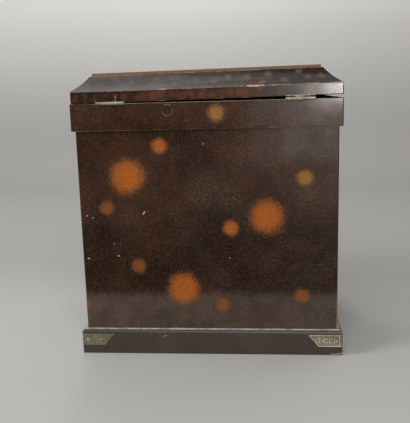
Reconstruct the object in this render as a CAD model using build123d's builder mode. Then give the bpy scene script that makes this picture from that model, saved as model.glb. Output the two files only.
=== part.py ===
# A lacquered table cabinet: a case with three drawers, a collar round its top and a hinged lid.
# Lengths are in millimetres. The front faces -Y, left is -X, and the origin is the middle of the
# base, on the surface that the cabinet stands on.
from build123d import *
import os
from math import degrees, atan2

os.makedirs("parts", exist_ok=True)

# Case
body_width = 280.0
body_depth = 205.0
body_height = 222.2
board = 9.0
base_board = 8.0
floor_board = 8.0
shelf_board = 7.0
housing = 3.0
housing_stop = 12.0
arris = 0.8

# Plinth
plinth_height = 28.4
plinth_proud = 5.4
plinth_shoulder = 4.5
plinth_heel = 1.2

# Collar and the compartment inside it
collar_height = 28.9
collar_proud = 3.7
compartment_depth = 39.5
corner_round = 1.2

# Lid: rim, hollow slope, ledge and raised panel
lid_gap = 0.3
lid_lift = 3.1
rim_height = 12.0
slope_inset = 19.4
slope_rise = 16.3
slope_hollow = 1.2
ledge = 1.8
panel_rise = 3.0
panel_board = 7.0
panel_round = 1.0
panel_seat = 6.0
moulding_web = 5.0
moulding_foot = 4.0

# Hinges
hinge_length = 30.5
hinge_inset = 40.3
hinge_knuckle = 9.7
barrel_radius = 1.8
barrel_proud = 0.8
pin_radius = 0.8
pin_clearance = 0.05
knuckle_gap = 0.3
leaf_sheet = 1.0
leaf_depth = 9.0
leaf_nail_inset = 4.0
leaf_nail_spread = 22.0
leaf_nail_radius = 0.6
leaf_nail_head = 1.3
leaf_nail_sink = 0.5
leaf_nail_length = 7.0
nail_clearance = 0.02

# Corner mounts
mount_sheet = 0.7
mount_bottom = 10.2
mount_height = 13.2
mount_top_reach = 36.8
mount_foot_reach = 25.8
mount_step_reach = 31.6
mount_step_height = 7.4
mount_step = 1.2
mount_nail_reaches = (6.0, 21.0)
mount_nail_radius = 0.45
mount_nail_length = 4.5
mount_nail_head = 0.9
mount_nail_rise = 0.5

# Drawers
lower_space = 74.0
middle_space = 58.0
drawer_side_gap = 0.4
drawer_foot_gap = 0.3
drawer_head_gap = 0.5
drawer_back_gap = 0.5
drawer_front = 9.0
drawer_board = 5.0
drawer_bottom = 3.5
drawer_groove = 2.5
drawer_bottom_lift = 2.0
drawer_side_drop = 1.0

# Pulls
plate_radius = 11.5
plate_petal = 2.3
plate_petals = 16
plate_sheet = 0.8
ear_place = 9.25
ear_width = 2.5
ear_radius = 2.2
ear_standoff = 2.6
tail_radius = 0.9
tail_length = 11.5
bail_wire = 2.0
bail_half_width = 13.0
bail_drop = 15.0
bail_shoulder = 2.2
bail_corner = 9.0
bail_end = 7.0
bail_clearance = 0.05
pull_lift = 5.0

# Places that follow from these sizes
half_width = body_width / 2
half_depth = body_depth / 2
inner_half_width = half_width - board
back_inside = half_depth - board
groove_start = -half_depth + housing_stop

base_top = plinth_height + base_board
collar_bottom = plinth_height + body_height
collar_top = collar_bottom + collar_height
floor_top = collar_top - compartment_depth
floor_under = floor_top - floor_board
lower_shelf = base_top + lower_space
upper_shelf = lower_shelf + shelf_board + middle_space
upper_floor = upper_shelf + shelf_board

plinth_half_width = half_width + plinth_proud
plinth_half_depth = half_depth + plinth_proud
plinth_rail = board + plinth_proud
collar_half_width = half_width + collar_proud
collar_half_depth = half_depth + collar_proud
collar_rail = board + collar_proud

# The lid sits on the right end of the collar and is lifted at its left end, as the worn one is.
lid_tilt = degrees(atan2(lid_lift, 2 * collar_half_width))
lid_base = Plane(origin=(0, 0, collar_top + lid_gap + lid_lift / 2)).rotated((0, lid_tilt, 0))
panel_opening = slope_inset + ledge
slope_top = rim_height + slope_rise
panel_top = slope_top + panel_rise
panel_under = panel_top - panel_board

hinge_place = half_width - hinge_inset
hinge_axis_y = collar_half_depth + barrel_proud
hinge_axis_z = collar_top + lid_gap / 2
barrel_room = barrel_radius + knuckle_gap
bore_radius = pin_radius + pin_clearance

UP = Vector(0, 0, 1)
RIGHT = Vector(1, 0, 0)
BACK = Vector(0, 1, 0)


def save(builder, name):
    """Label a finished piece and write its file."""
    builder.part.label = name
    export_step(builder.part, f"parts/{name}.step")


def block(x, y, z, mode=Mode.ADD, base=Plane.XY):
    """A box between two limits along each axis of the base plane."""
    with BuildSketch(base.offset(z[0])) as outline:
        with Locations(((x[0] + x[1]) / 2, (y[0] + y[1]) / 2)):
            Rectangle(x[1] - x[0], y[1] - y[0])
    extrude(outline.sketch, amount=z[1] - z[0], mode=mode)


def bar(start, direction, radius, length, mode=Mode.ADD):
    """A round bar that starts at a point and runs in a direction."""
    with BuildSketch(Plane(origin=start, z_dir=direction)) as outline:
        Circle(radius)
    extrude(outline.sketch, amount=length, mode=mode)


def mitred_rail(turn, half_length, face_distance, section, corner, base=Plane.XY):
    """One rail of a mitred frame: turn is 0 for the front, then 90, 180 and 270 degrees."""
    along = RIGHT.rotate(Axis.Z, turn)
    inward = BACK.rotate(Axis.Z, turn)
    middle = -inward * face_distance
    half_x = abs(along.X) * half_length + abs(inward.X) * face_distance
    half_y = abs(along.Y) * half_length + abs(inward.Y) * face_distance
    height = section.sketch.bounding_box().max.Y
    with BuildPart() as rail:
        end_plane = Plane(
            origin=base.from_local_coords(middle),
            x_dir=base.from_local_coords(inward) - base.origin,
            z_dir=base.from_local_coords(along) - base.origin,
        )
        with BuildSketch(end_plane):
            add(section.sketch)
        extrude(amount=half_length, both=True)
        corner_x, corner_y = half_x - corner, half_y - corner
        with BuildSketch(base):
            with GridLocations(2 * half_x, 2 * half_y, 2, 2):
                Rectangle(2 * corner, 2 * corner)
            with GridLocations(2 * corner_x, 2 * corner_y, 2, 2):
                Circle(corner, mode=Mode.SUBTRACT)
            Rectangle(2 * corner_x, 4 * half_y, mode=Mode.SUBTRACT)
            Rectangle(4 * half_x, 2 * corner_y, mode=Mode.SUBTRACT)
        extrude(amount=height, mode=Mode.SUBTRACT)
        for end in (-1, 1):
            mitre = Plane(
                origin=base.from_local_coords(middle + along * end * half_length),
                z_dir=base.from_local_coords(inward + along * end) - base.origin,
            )
            split(bisect_by=mitre, keep=Keep.BOTTOM)
    return rail


frame_sides = (
    ("front", 0, True),
    ("right", 90, False),
    ("back", 180, True),
    ("left", 270, False),
)

# Mount nails: a point on the sheet's outer face and the way out of the wood for each.
mount_corners = [
    (f"{depth_name}_{width_name}", side_x, side_y)
    for depth_name, side_y in (("front", -1), ("back", 1))
    for width_name, side_x in (("left", -1), ("right", 1))
]
mount_nails = []
for corner_name, side_x, side_y in mount_corners:
    nail_z = mount_bottom + mount_height / 2
    for reach in mount_nail_reaches:
        long_face = Vector(
            side_x * (plinth_half_width - reach), side_y * (plinth_half_depth + mount_sheet), nail_z
        )
        short_face = Vector(
            side_x * (plinth_half_width + mount_sheet), side_y * (plinth_half_depth - reach), nail_z
        )
        mount_nails.append((long_face, BACK * side_y))
        mount_nails.append((short_face, RIGHT * side_x))


def nail_shanks(nails, radius, length, mode):
    """The shanks of a list of nails, or their holes: each point lies on the face under the head."""
    for point, outward in nails:
        bar(point, -outward, radius, length, mode)


# Plinth
with BuildSketch() as plinth_section:
    with Locations((plinth_rail / 2, plinth_height / 2)):
        Rectangle(plinth_rail, plinth_height)
    outer = plinth_section.vertices().group_by(Axis.X)[0].sort_by(Axis.Y)
    fillet(outer[-1], plinth_shoulder)
    fillet(plinth_section.vertices().group_by(Axis.X)[0].sort_by(Axis.Y)[0], plinth_heel)

for name, turn, is_long in frame_sides:
    length, distance = (
        (plinth_half_width, plinth_half_depth) if is_long else (plinth_half_depth, plinth_half_width)
    )
    plinth = mitred_rail(turn, length, distance, plinth_section, corner_round)
    with plinth:
        nail_shanks(
            mount_nails,
            mount_nail_radius + nail_clearance,
            mount_sheet + mount_nail_length + nail_clearance,
            Mode.SUBTRACT,
        )
    save(plinth, f"plinth_{name}")

# Corner mounts, bent round the corners of the plinth
for corner_name, side_x, side_y in mount_corners:
    with BuildPart() as mount:
        with BuildSketch(Plane.XY.offset(mount_bottom)):
            RectangleRounded(
                2 * (plinth_half_width + mount_sheet),
                2 * (plinth_half_depth + mount_sheet),
                corner_round + mount_sheet,
            )
            RectangleRounded(
                2 * plinth_half_width, 2 * plinth_half_depth, corner_round, mode=Mode.SUBTRACT
            )
        extrude(amount=mount_height)
        inner_x = side_x * (plinth_half_width - mount_top_reach)
        outer_x = side_x * (plinth_half_width + mount_top_reach)
        inner_y = side_y * (plinth_half_depth - mount_top_reach)
        outer_y = side_y * (plinth_half_depth + mount_top_reach)
        block(
            sorted((inner_x, outer_x)),
            sorted((inner_y, outer_y)),
            (mount_bottom, mount_bottom + mount_height),
            mode=Mode.INTERSECT,
        )
        corner_point = Vector(side_x * plinth_half_width, side_y * plinth_half_depth, mount_bottom)
        for along in (RIGHT * -side_x, BACK * -side_y):
            with BuildSketch(Plane(origin=corner_point, x_dir=along, z_dir=along.cross(UP))):
                with BuildLine():
                    Polyline(
                        (mount_top_reach, mount_height),
                        (mount_step_reach, mount_step_height),
                        (mount_step_reach - mount_step, mount_step_height - mount_step),
                        (mount_foot_reach, 0),
                        (mount_top_reach, 0),
                        close=True,
                    )
                make_face()
            extrude(amount=2 * mount_sheet, both=True, mode=Mode.SUBTRACT)
        nail_shanks(mount_nails, mount_nail_radius + nail_clearance, 2 * mount_sheet, Mode.SUBTRACT)
    save(mount, f"corner_mount_{corner_name}")

with BuildPart() as mount_nail_set:
    nail_shanks(mount_nails, mount_nail_radius, mount_sheet + mount_nail_length, Mode.ADD)
    for point, outward in mount_nails:
        bar(point, outward, mount_nail_head, mount_nail_rise)
save(mount_nail_set, "mount_nails")

# Boards that are housed in the side boards and in the back board: height of the underside, board
housed_boards = {
    "bottom_board": (plinth_height, base_board),
    "lower_shelf": (lower_shelf, shelf_board),
    "upper_shelf": (upper_shelf, shelf_board),
    "compartment_floor": (floor_under, floor_board),
}
rail_inside = -half_depth + board

for name, (underside, thickness) in housed_boards.items():
    is_floor = name == "compartment_floor"
    front_edge = rail_inside - housing if is_floor else -half_depth
    level = (underside, underside + thickness)
    with BuildPart() as housed:
        block((-inner_half_width, inner_half_width), (front_edge, back_inside + housing), level)
        reach = inner_half_width + housing
        block((-reach, reach), (groove_start, back_inside), level)
        if not is_floor:
            front_face = housed.faces().sort_by(Axis.Y)[0]
            fillet(front_face.edges().filter_by(Axis.X), arris)
    save(housed, name)

# Side boards, with a tongue at the rear that fits the back board
for name, side in (("side_left", -1), ("side_right", 1)):
    with BuildPart() as side_board:
        faces = sorted((side * inner_half_width, side * half_width))
        block(faces, (-half_depth, back_inside), (plinth_height, collar_bottom))
        front_arrises = side_board.faces().sort_by(Axis.Y)[0].edges().filter_by(Axis.Z)
        fillet(front_arrises, arris)
        tongue = sorted((side * (inner_half_width + housing), side * (half_width - housing)))
        block(tongue, (back_inside, back_inside + housing), (plinth_height, collar_bottom))
        groove = sorted((side * inner_half_width, side * (inner_half_width + housing)))
        for underside, thickness in housed_boards.values():
            level = (underside, underside + thickness)
            block(groove, (groove_start, back_inside), level, mode=Mode.SUBTRACT)
        rail_end = (rail_inside - housing, rail_inside)
        block(groove, rail_end, (floor_top, collar_bottom), mode=Mode.SUBTRACT)
    save(side_board, name)

with BuildPart() as back_board:
    block((-half_width, half_width), (back_inside, half_depth), (plinth_height, collar_bottom))
    rear_arrises = back_board.faces().sort_by(Axis.Y)[-1].edges().filter_by(Axis.Z)
    fillet(rear_arrises, corner_round)
    rear_groove = (back_inside, back_inside + housing)
    for side in (-1, 1):
        tongue = sorted((side * (inner_half_width + housing), side * (half_width - housing)))
        block(tongue, rear_groove, (plinth_height, collar_bottom), mode=Mode.SUBTRACT)
    for underside, thickness in housed_boards.values():
        level = (underside, underside + thickness)
        block((-inner_half_width, inner_half_width), rear_groove, level, mode=Mode.SUBTRACT)
save(back_board, "back_board")

# Rail across the front, above the drawers: it closes the compartment and holds its floor
with BuildPart() as top_rail:
    rail_width = (-inner_half_width, inner_half_width)
    block(rail_width, (-half_depth, rail_inside - housing), (floor_under, collar_bottom))
    above_floor = (floor_top, collar_bottom)
    reach = inner_half_width + housing
    block((-reach, reach), (rail_inside - housing, rail_inside), above_floor)
save(top_rail, "top_rail")


def outer_knuckles(centre):
    """Limits along X of a hinge's two outer knuckles, which belong to the leaf on the case."""
    inner = hinge_knuckle / 2 + knuckle_gap
    outer = hinge_length / 2
    return [(centre - outer, centre - inner), (centre + inner, centre + outer)]


def barrel(limits, radius, mode=Mode.ADD):
    """A round bar along the hinge axis between two limits of X."""
    start = Vector(limits[0], hinge_axis_y, hinge_axis_z)
    bar(start, RIGHT, radius, limits[1] - limits[0], mode)


def leaf_nails(centre, surface):
    """The two nails of one leaf: points on the leaf's face, for a face at a given height."""
    row = collar_half_depth - leaf_nail_inset
    spread = leaf_nail_spread / 2
    return [Vector(centre + side * spread, row, surface) for side in (-1, 1)]


hinges = {"left": -hinge_place, "right": hinge_place}
leaf_front = collar_half_depth - leaf_depth
leaf_rear = hinge_axis_y - bore_radius - (barrel_radius - bore_radius) / 2
case_nails = [(point, UP) for centre in hinges.values() for point in leaf_nails(centre, collar_top)]
lid_nails = [
    (lid_base.from_local_coords(point), -lid_base.z_dir)
    for centre in hinges.values()
    for point in leaf_nails(centre, 0)
]


def leaf_nail_holes(nails):
    """Holes for the nails of the hinge leaves, with a recess for each flat head."""
    nail_shanks(nails, leaf_nail_radius + nail_clearance, leaf_nail_length, Mode.SUBTRACT)
    nail_shanks(nails, leaf_nail_head + nail_clearance, leaf_nail_sink, Mode.SUBTRACT)


# Collar, with the seats of the hinge leaves and barrels
with BuildSketch() as collar_section:
    with Locations((collar_rail / 2, collar_height / 2)):
        Rectangle(collar_rail, collar_height)
    fillet(collar_section.vertices().group_by(Axis.X)[0], arris)

collar_base = Plane.XY.offset(collar_bottom)
for name, turn, is_long in frame_sides:
    length, distance = (
        (collar_half_width, collar_half_depth) if is_long else (collar_half_depth, collar_half_width)
    )
    collar = mitred_rail(turn, length, distance, collar_section, corner_round, collar_base)
    if name == "back":
        with collar:
            for centre in hinges.values():
                span = (centre - hinge_length / 2, centre + hinge_length / 2)
                seat = (collar_top - leaf_sheet, collar_top)
                block(span, (leaf_front, collar_half_depth), seat, mode=Mode.SUBTRACT)
                room = (span[0] - knuckle_gap, span[1] + knuckle_gap)
                barrel(room, barrel_room, Mode.SUBTRACT)
            leaf_nail_holes(case_nails)
    save(collar, f"collar_{name}")

# Lid mouldings
with BuildSketch() as lid_section:
    with BuildLine():
        Polyline((slope_inset, slope_top), (panel_opening, slope_top), (panel_opening, panel_under))
        Polyline(
            (panel_opening, panel_under),
            (panel_opening + panel_seat, panel_under),
            (panel_opening + panel_seat, panel_under - moulding_web),
            (collar_rail, moulding_foot),
            (collar_rail, 0),
            (0, 0),
            (0, rim_height),
        )
        SagittaArc((0, rim_height), (slope_inset, slope_top), -slope_hollow)
    make_face()
    rim_corners = lid_section.vertices().group_by(Axis.X)[0]
    fillet(rim_corners, arris)

for name, turn, is_long in frame_sides:
    length, distance = (
        (collar_half_width, collar_half_depth) if is_long else (collar_half_depth, collar_half_width)
    )
    moulding = mitred_rail(turn, length, distance, lid_section, corner_round, lid_base)
    if name == "back":
        with moulding:
            for centre in hinges.values():
                span = (centre - hinge_length / 2, centre + hinge_length / 2)
                rear = (leaf_front, collar_half_depth)
                block(span, rear, (0, leaf_sheet), mode=Mode.SUBTRACT, base=lid_base)
                room = (span[0] - knuckle_gap, span[1] + knuckle_gap)
                barrel(room, barrel_room, Mode.SUBTRACT)
            leaf_nail_holes(lid_nails)
    save(moulding, f"lid_moulding_{name}")

with BuildPart() as lid_panel:
    panel_half_width = collar_half_width - panel_opening
    panel_half_depth = collar_half_depth - panel_opening
    block(
        (-panel_half_width, panel_half_width),
        (-panel_half_depth, panel_half_depth),
        (panel_under, panel_top),
        base=lid_base,
    )
    fillet(lid_panel.faces().sort_by(Axis.Z)[-1].edges(), panel_round)
save(lid_panel, "lid_panel")

# Hinge leaves and pins
for name, centre in hinges.items():
    span = (centre - hinge_length / 2, centre + hinge_length / 2)
    middle_knuckle = (centre - hinge_knuckle / 2, centre + hinge_knuckle / 2)
    middle_room = (middle_knuckle[0] - knuckle_gap, middle_knuckle[1] + knuckle_gap)
    with BuildPart() as case_leaf:
        block(span, (leaf_front, leaf_rear), (collar_top - leaf_sheet, collar_top))
        barrel(middle_room, barrel_room, Mode.SUBTRACT)
        for limits in outer_knuckles(centre):
            barrel(limits, barrel_radius)
        barrel(span, bore_radius, Mode.SUBTRACT)
        leaf_nail_holes(case_nails)
    save(case_leaf, f"hinge_leaf_case_{name}")

    with BuildPart() as lid_leaf:
        rear = (leaf_front, collar_half_depth)
        block(span, rear, (0, leaf_sheet), base=lid_base)
        for start, end in outer_knuckles(centre):
            barrel((start - knuckle_gap, end + knuckle_gap), barrel_room, Mode.SUBTRACT)
        barrel(middle_knuckle, barrel_radius)
        web_top = lid_base.from_local_coords(Vector(centre, 0, leaf_sheet)).Z
        web_depth = (leaf_rear - leaf_sheet / 2, leaf_rear + leaf_sheet / 2)
        block(middle_knuckle, web_depth, (hinge_axis_z, web_top - leaf_sheet / 2))
        barrel(span, bore_radius, Mode.SUBTRACT)
        leaf_nail_holes(lid_nails)
    save(lid_leaf, f"hinge_leaf_lid_{name}")

    with BuildPart() as hinge_pin:
        barrel(span, pin_radius)
    save(hinge_pin, f"hinge_pin_{name}")

for name, nails in (("hinge_nails_case", case_nails), ("hinge_nails_lid", lid_nails)):
    with BuildPart() as nail_set:
        nail_shanks(nails, leaf_nail_radius, leaf_nail_length - nail_clearance, Mode.ADD)
        nail_shanks(nails, leaf_nail_head, leaf_nail_sink, Mode.ADD)
    save(nail_set, name)

# Drawers: the floor of each drawer's space and the space's height
drawer_spaces = {
    "lower": (base_top, lower_space),
    "middle": (lower_shelf + shelf_board, middle_space),
    "upper": (upper_floor, floor_under - upper_floor),
}
drawer_half_width = inner_half_width - drawer_side_gap
drawer_inner_half_width = drawer_half_width - drawer_board
drawer_rear = back_inside - drawer_back_gap
front_inside = -half_depth + drawer_front
lap_face = front_inside - drawer_board

for name, (space_floor, space_height) in drawer_spaces.items():
    foot = space_floor + drawer_foot_gap
    head = space_floor + space_height - drawer_head_gap
    side_head = head - drawer_side_drop
    bottom_level = (foot + drawer_bottom_lift, foot + drawer_bottom_lift + drawer_bottom)
    bottom_reach = drawer_inner_half_width + drawer_groove
    pull_z = (foot + head) / 2 + pull_lift
    ears = [side * ear_place for side in (-1, 1)]

    with BuildPart() as front_board:
        front_width = (-drawer_half_width, drawer_half_width)
        block(front_width, (-half_depth, front_inside), (foot, head))
        fillet(front_board.faces().sort_by(Axis.Y)[0].edges(), arris)
        for side in (-1, 1):
            lap = sorted((side * drawer_inner_half_width, side * drawer_half_width))
            block(lap, (lap_face, front_inside), (foot, head), mode=Mode.SUBTRACT)
        groove_width = (-drawer_inner_half_width, drawer_inner_half_width)
        groove_depth = (front_inside - drawer_groove, front_inside)
        block(groove_width, groove_depth, bottom_level, mode=Mode.SUBTRACT)
        for ear in ears:
            hole_start = Vector(ear, -half_depth, pull_z)
            bar(hole_start, BACK, tail_radius + nail_clearance, drawer_front, Mode.SUBTRACT)
    save(front_board, f"{name}_drawer_front")

    for side_name, side in (("left", -1), ("right", 1)):
        with BuildPart() as drawer_side:
            cheek = sorted((side * drawer_inner_half_width, side * drawer_half_width))
            block(cheek, (lap_face, drawer_rear), (foot, side_head))
            groove = sorted((side * drawer_inner_half_width, side * bottom_reach))
            block(groove, (lap_face, drawer_rear), bottom_level, mode=Mode.SUBTRACT)
        save(drawer_side, f"{name}_drawer_side_{side_name}")

    with BuildPart() as drawer_back:
        back_width = (-drawer_inner_half_width, drawer_inner_half_width)
        back_depth = (drawer_rear - drawer_board, drawer_rear)
        block(back_width, back_depth, (bottom_level[1], side_head))
    save(drawer_back, f"{name}_drawer_back")

    with BuildPart() as bottom_panel:
        block((-bottom_reach, bottom_reach), (front_inside, drawer_rear), bottom_level)
        block(groove_width, groove_depth, bottom_level)
    save(bottom_panel, f"{name}_drawer_bottom")

    pivot_y = -half_depth - plate_sheet - ear_standoff
    face = Plane(origin=(0, -half_depth, pull_z), x_dir=(1, 0, 0), z_dir=(0, -1, 0))
    with BuildPart() as pull_plate:
        with BuildSketch(face):
            Circle(plate_radius)
            with PolarLocations(plate_radius, plate_petals):
                Circle(plate_petal)
        extrude(amount=plate_sheet)
        for ear in ears:
            with BuildSketch(Plane.YZ.offset(ear - ear_width / 2)) as ear_profile:
                with Locations((pivot_y, pull_z)):
                    Circle(ear_radius)
                with Locations(((pivot_y - half_depth) / 2, pull_z)):
                    Rectangle(-half_depth - pivot_y, 2 * ear_radius)
            extrude(ear_profile.sketch, amount=ear_width)
            bar(Vector(ear, -half_depth, pull_z), BACK, tail_radius, tail_length)
            bore_start = Vector(ear - ear_width, pivot_y, pull_z)
            bore = bail_wire / 2 + bail_clearance
            bar(bore_start, RIGHT, bore, 2 * ear_width, Mode.SUBTRACT)
    save(pull_plate, f"{name}_pull_plate")

    with BuildPart() as bail:
        with BuildLine(Plane(origin=(0, pivot_y, pull_z), x_dir=(1, 0, 0), z_dir=(0, -1, 0))) as path:
            FilletPolyline(
                (-bail_end, 0),
                (-bail_half_width, 0),
                (-bail_half_width, -bail_drop),
                (bail_half_width, -bail_drop),
                (bail_half_width, 0),
                (bail_end, 0),
                radius=[bail_shoulder, bail_corner, bail_corner, bail_shoulder],
            )
        with BuildSketch(Plane(origin=path.line @ 0, z_dir=path.line % 0)):
            Circle(bail_wire / 2)
        sweep()
    save(bail, f"{name}_bail")
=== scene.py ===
"""Dresses the lacquered table cabinet: worn lacquer with powdered gold spots, aged metal, light and floor."""

from __future__ import annotations

import logging
import math
from dataclasses import dataclass, field, replace
from enum import Enum
from itertools import product
from typing import Sequence

import bmesh
import bpy
from mathutils import Matrix, Vector


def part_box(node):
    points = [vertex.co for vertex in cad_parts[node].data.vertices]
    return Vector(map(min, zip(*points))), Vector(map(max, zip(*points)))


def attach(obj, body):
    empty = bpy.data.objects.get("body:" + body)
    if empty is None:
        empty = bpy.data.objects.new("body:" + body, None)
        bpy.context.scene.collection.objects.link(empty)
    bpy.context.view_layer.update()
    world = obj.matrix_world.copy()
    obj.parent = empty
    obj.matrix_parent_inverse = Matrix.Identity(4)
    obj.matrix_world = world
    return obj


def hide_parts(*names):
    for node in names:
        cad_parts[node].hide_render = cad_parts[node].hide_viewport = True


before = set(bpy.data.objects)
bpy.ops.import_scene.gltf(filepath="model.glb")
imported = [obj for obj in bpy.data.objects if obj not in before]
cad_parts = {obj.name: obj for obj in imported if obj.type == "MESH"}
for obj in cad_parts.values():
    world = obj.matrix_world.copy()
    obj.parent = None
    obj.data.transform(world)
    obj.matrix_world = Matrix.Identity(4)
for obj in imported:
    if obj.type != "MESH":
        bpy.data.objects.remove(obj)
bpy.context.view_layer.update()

log = logging.getLogger("cabinet")

MM = 0.001
# The distance to a mark, as a share of its radius, where there is no mark
FAR_SHARE = 9.0
Colour = tuple[float, float, float]
# Place along a face, height and radius of a mark, in millimetres
Row = tuple[float, float, float]


class Turn(Enum):
    """Which way a face of the cabinet looks."""

    REAR = "rear"
    FRONT = "front"
    LEFT = "left"
    RIGHT = "right"


# Node trees


@dataclass(frozen=True)
class Noise:
    """Cloudy noise: cells to a metre, octaves, and how strong the finer octaves are."""

    scale: float
    detail: float = 2.0
    rough: float = 0.5


@dataclass(frozen=True)
class Step:
    """A smooth step: where it starts and ends, and its values there."""

    start: object
    end: object
    low: float = 0.0
    high: float = 1.0


@dataclass(frozen=True)
class Patches:
    """Patches with soft edges: noise cut by a step."""

    noise: Noise
    step: Step


class Sheet:
    """A node tree, the coordinates that its patterns read, and short calls for its nodes."""

    def __init__(self, tree: bpy.types.NodeTree) -> None:
        """Keeps the tree.

        Args:
            tree: The tree that the nodes go into.
        """
        self.tree = tree
        self.at: object = None

    def node(self, kind: str, **settings: object) -> bpy.types.Node:
        """Adds a node.

        Args:
            kind: The node's type name.
            settings: Its properties.

        Returns:
            The new node.
        """
        made = self.tree.nodes.new(kind)
        for name, value in settings.items():
            setattr(made, name, value)
        return made

    def feed(self, socket: bpy.types.NodeSocket, value: object) -> None:
        """Links a socket to another, or sets it to a plain value.

        Args:
            socket: The input to feed.
            value: A socket, a number, or a tuple.
        """
        if isinstance(value, bpy.types.NodeSocket):
            self.tree.links.new(value, socket)
        else:
            socket.default_value = value

    def fill(self, node: bpy.types.Node, **values: object) -> bpy.types.Node:
        """Feeds a node's inputs.

        Args:
            node: The node.
            values: What each input gets, with the spaces of its name as underscores.

        Returns:
            The node.
        """
        for name, value in values.items():
            self.feed(node.inputs[name.replace("_", " ")], value)
        return node

    def maths(self, operation: str, *values: object, clamp: bool = False) -> bpy.types.NodeSocket:
        """A Math node.

        Args:
            operation: What it does.
            values: Its inputs, in order.
            clamp: Whether the result stays from 0 to 1.

        Returns:
            The result.
        """
        made = self.node("ShaderNodeMath", operation=operation, use_clamp=clamp)
        for socket, value in zip(made.inputs, values):
            self.feed(socket, value)
        return made.outputs[0]

    def vector(self, operation: str, *values: object) -> bpy.types.Node:
        """A Vector Math node.

        Args:
            operation: What it does.
            values: Its inputs, in order.

        Returns:
            The node.
        """
        made = self.node("ShaderNodeVectorMath", operation=operation)
        for socket, value in zip(made.inputs, values):
            self.feed(socket, value)
        return made

    def noise(self, kind: Noise, at: object = None) -> bpy.types.NodeSocket:
        """Cloudy noise.

        Args:
            kind: The noise.
            at: Other coordinates than the sheet's own.

        Returns:
            A value around 0.5.
        """
        made = self.fill(
            self.node("ShaderNodeTexNoise"), Vector=self.at if at is None else at,
            Scale=kind.scale, Detail=kind.detail, Roughness=kind.rough,
        )
        return made.outputs["Fac"]

    def cells(self, scale: object) -> bpy.types.Node:
        """Scattered points, by their number to a metre: a node with Distance and Color."""
        return self.fill(self.node("ShaderNodeTexVoronoi"), Vector=self.at, Scale=scale)

    def ramp(self, value: object, step: Step) -> bpy.types.NodeSocket:
        """A smooth step.

        Args:
            value: What is read.
            step: The step.

        Returns:
            The stepped value.
        """
        made = self.node("ShaderNodeMapRange", interpolation_type="SMOOTHSTEP")
        self.fill(
            made, Value=value, From_Min=step.start, From_Max=step.end, To_Min=step.low, To_Max=step.high,
        )
        return made.outputs["Result"]

    def patches(self, kind: Patches) -> bpy.types.NodeSocket:
        """Noise cut by a step into patches."""
        return self.ramp(self.noise(kind.noise), kind.step)

    def swing(self, kind: Noise, width: float) -> bpy.types.NodeSocket:
        """Noise moved to lie around zero and widened."""
        return self.maths("MULTIPLY", self.maths("SUBTRACT", self.noise(kind), 0.5), width)

    def blend(self, share: object, first: object, second: object) -> bpy.types.NodeSocket:
        """Mixes two colours.

        Args:
            share: How much of the second shows.
            first: A colour or socket.
            second: A colour or socket.

        Returns:
            The mixed colour.
        """
        made = self.node("ShaderNodeMix", data_type="RGBA")
        factor = next(s for s in made.inputs if s.name == "Factor" and s.type == "VALUE")
        ends = [s for s in made.inputs if s.type == "RGBA"]
        self.feed(factor, share)
        for socket, value in zip(ends, (first, second)):
            self.feed(socket, (*value, 1.0) if isinstance(value, tuple) else value)
        return next(s for s in made.outputs if s.type == "RGBA")

    def product(self, *values: object) -> bpy.types.NodeSocket:
        """The product of two or more values.

        Args:
            values: The values.

        Returns:
            Their product.
        """
        result = values[0]
        for value in values[1:]:
            result = self.maths("MULTIPLY", result, value)
        return result

    def total(self, first: object, second: object) -> bpy.types.NodeSocket:
        """The sum of two values."""
        return self.maths("ADD", first, second)

    def gap(self, first: object, second: object) -> bpy.types.NodeSocket:
        """How far two values are apart, never negative."""
        return self.maths("ABSOLUTE", self.maths("SUBTRACT", first, second))

    def bump(self, height: object, strength: float, distance: float) -> bpy.types.NodeSocket:
        """Turns a height into a normal.

        Args:
            height: The relief.
            strength: How much of it shows.
            distance: The height that a relief of 1 stands for, in metres.

        Returns:
            The normal.
        """
        made = self.fill(self.node("ShaderNodeBump"), Strength=strength, Distance=distance, Height=height)
        return made.outputs[0]

    def parts(self, value: object) -> dict[str, bpy.types.NodeSocket]:
        """The X, Y and Z of a vector."""
        made = self.node("ShaderNodeSeparateXYZ")
        self.feed(made.inputs[0], value)
        return {socket.name: socket for socket in made.outputs}

    def placed(self, at: object, turn: Sequence[float], stretch: Sequence[float]) -> bpy.types.NodeSocket:
        """Turned and stretched coordinates.

        Args:
            at: The coordinates.
            turn: The turn about each axis, in radians.
            stretch: The scale along each axis.

        Returns:
            The new coordinates.
        """
        made = self.node("ShaderNodeMapping", vector_type="POINT")
        return self.fill(made, Vector=at, Rotation=turn, Scale=stretch).outputs[0]

    def group(self, tree: bpy.types.NodeTree, **values: object) -> bpy.types.Node:
        """Places a shared effect, by its tree and its inputs other than the coordinates."""
        return self.fill(self.node("ShaderNodeGroup", node_tree=tree), Vector=self.at, **values)

    def surface(self, **values: object) -> None:
        """Ends a material with a Principled shader.

        Args:
            values: The shader's inputs.
        """
        shader = self.fill(self.node("ShaderNodeBsdfPrincipled"), **values)
        self.feed(self.node("ShaderNodeOutputMaterial").inputs["Surface"], shader.outputs[0])


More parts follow.
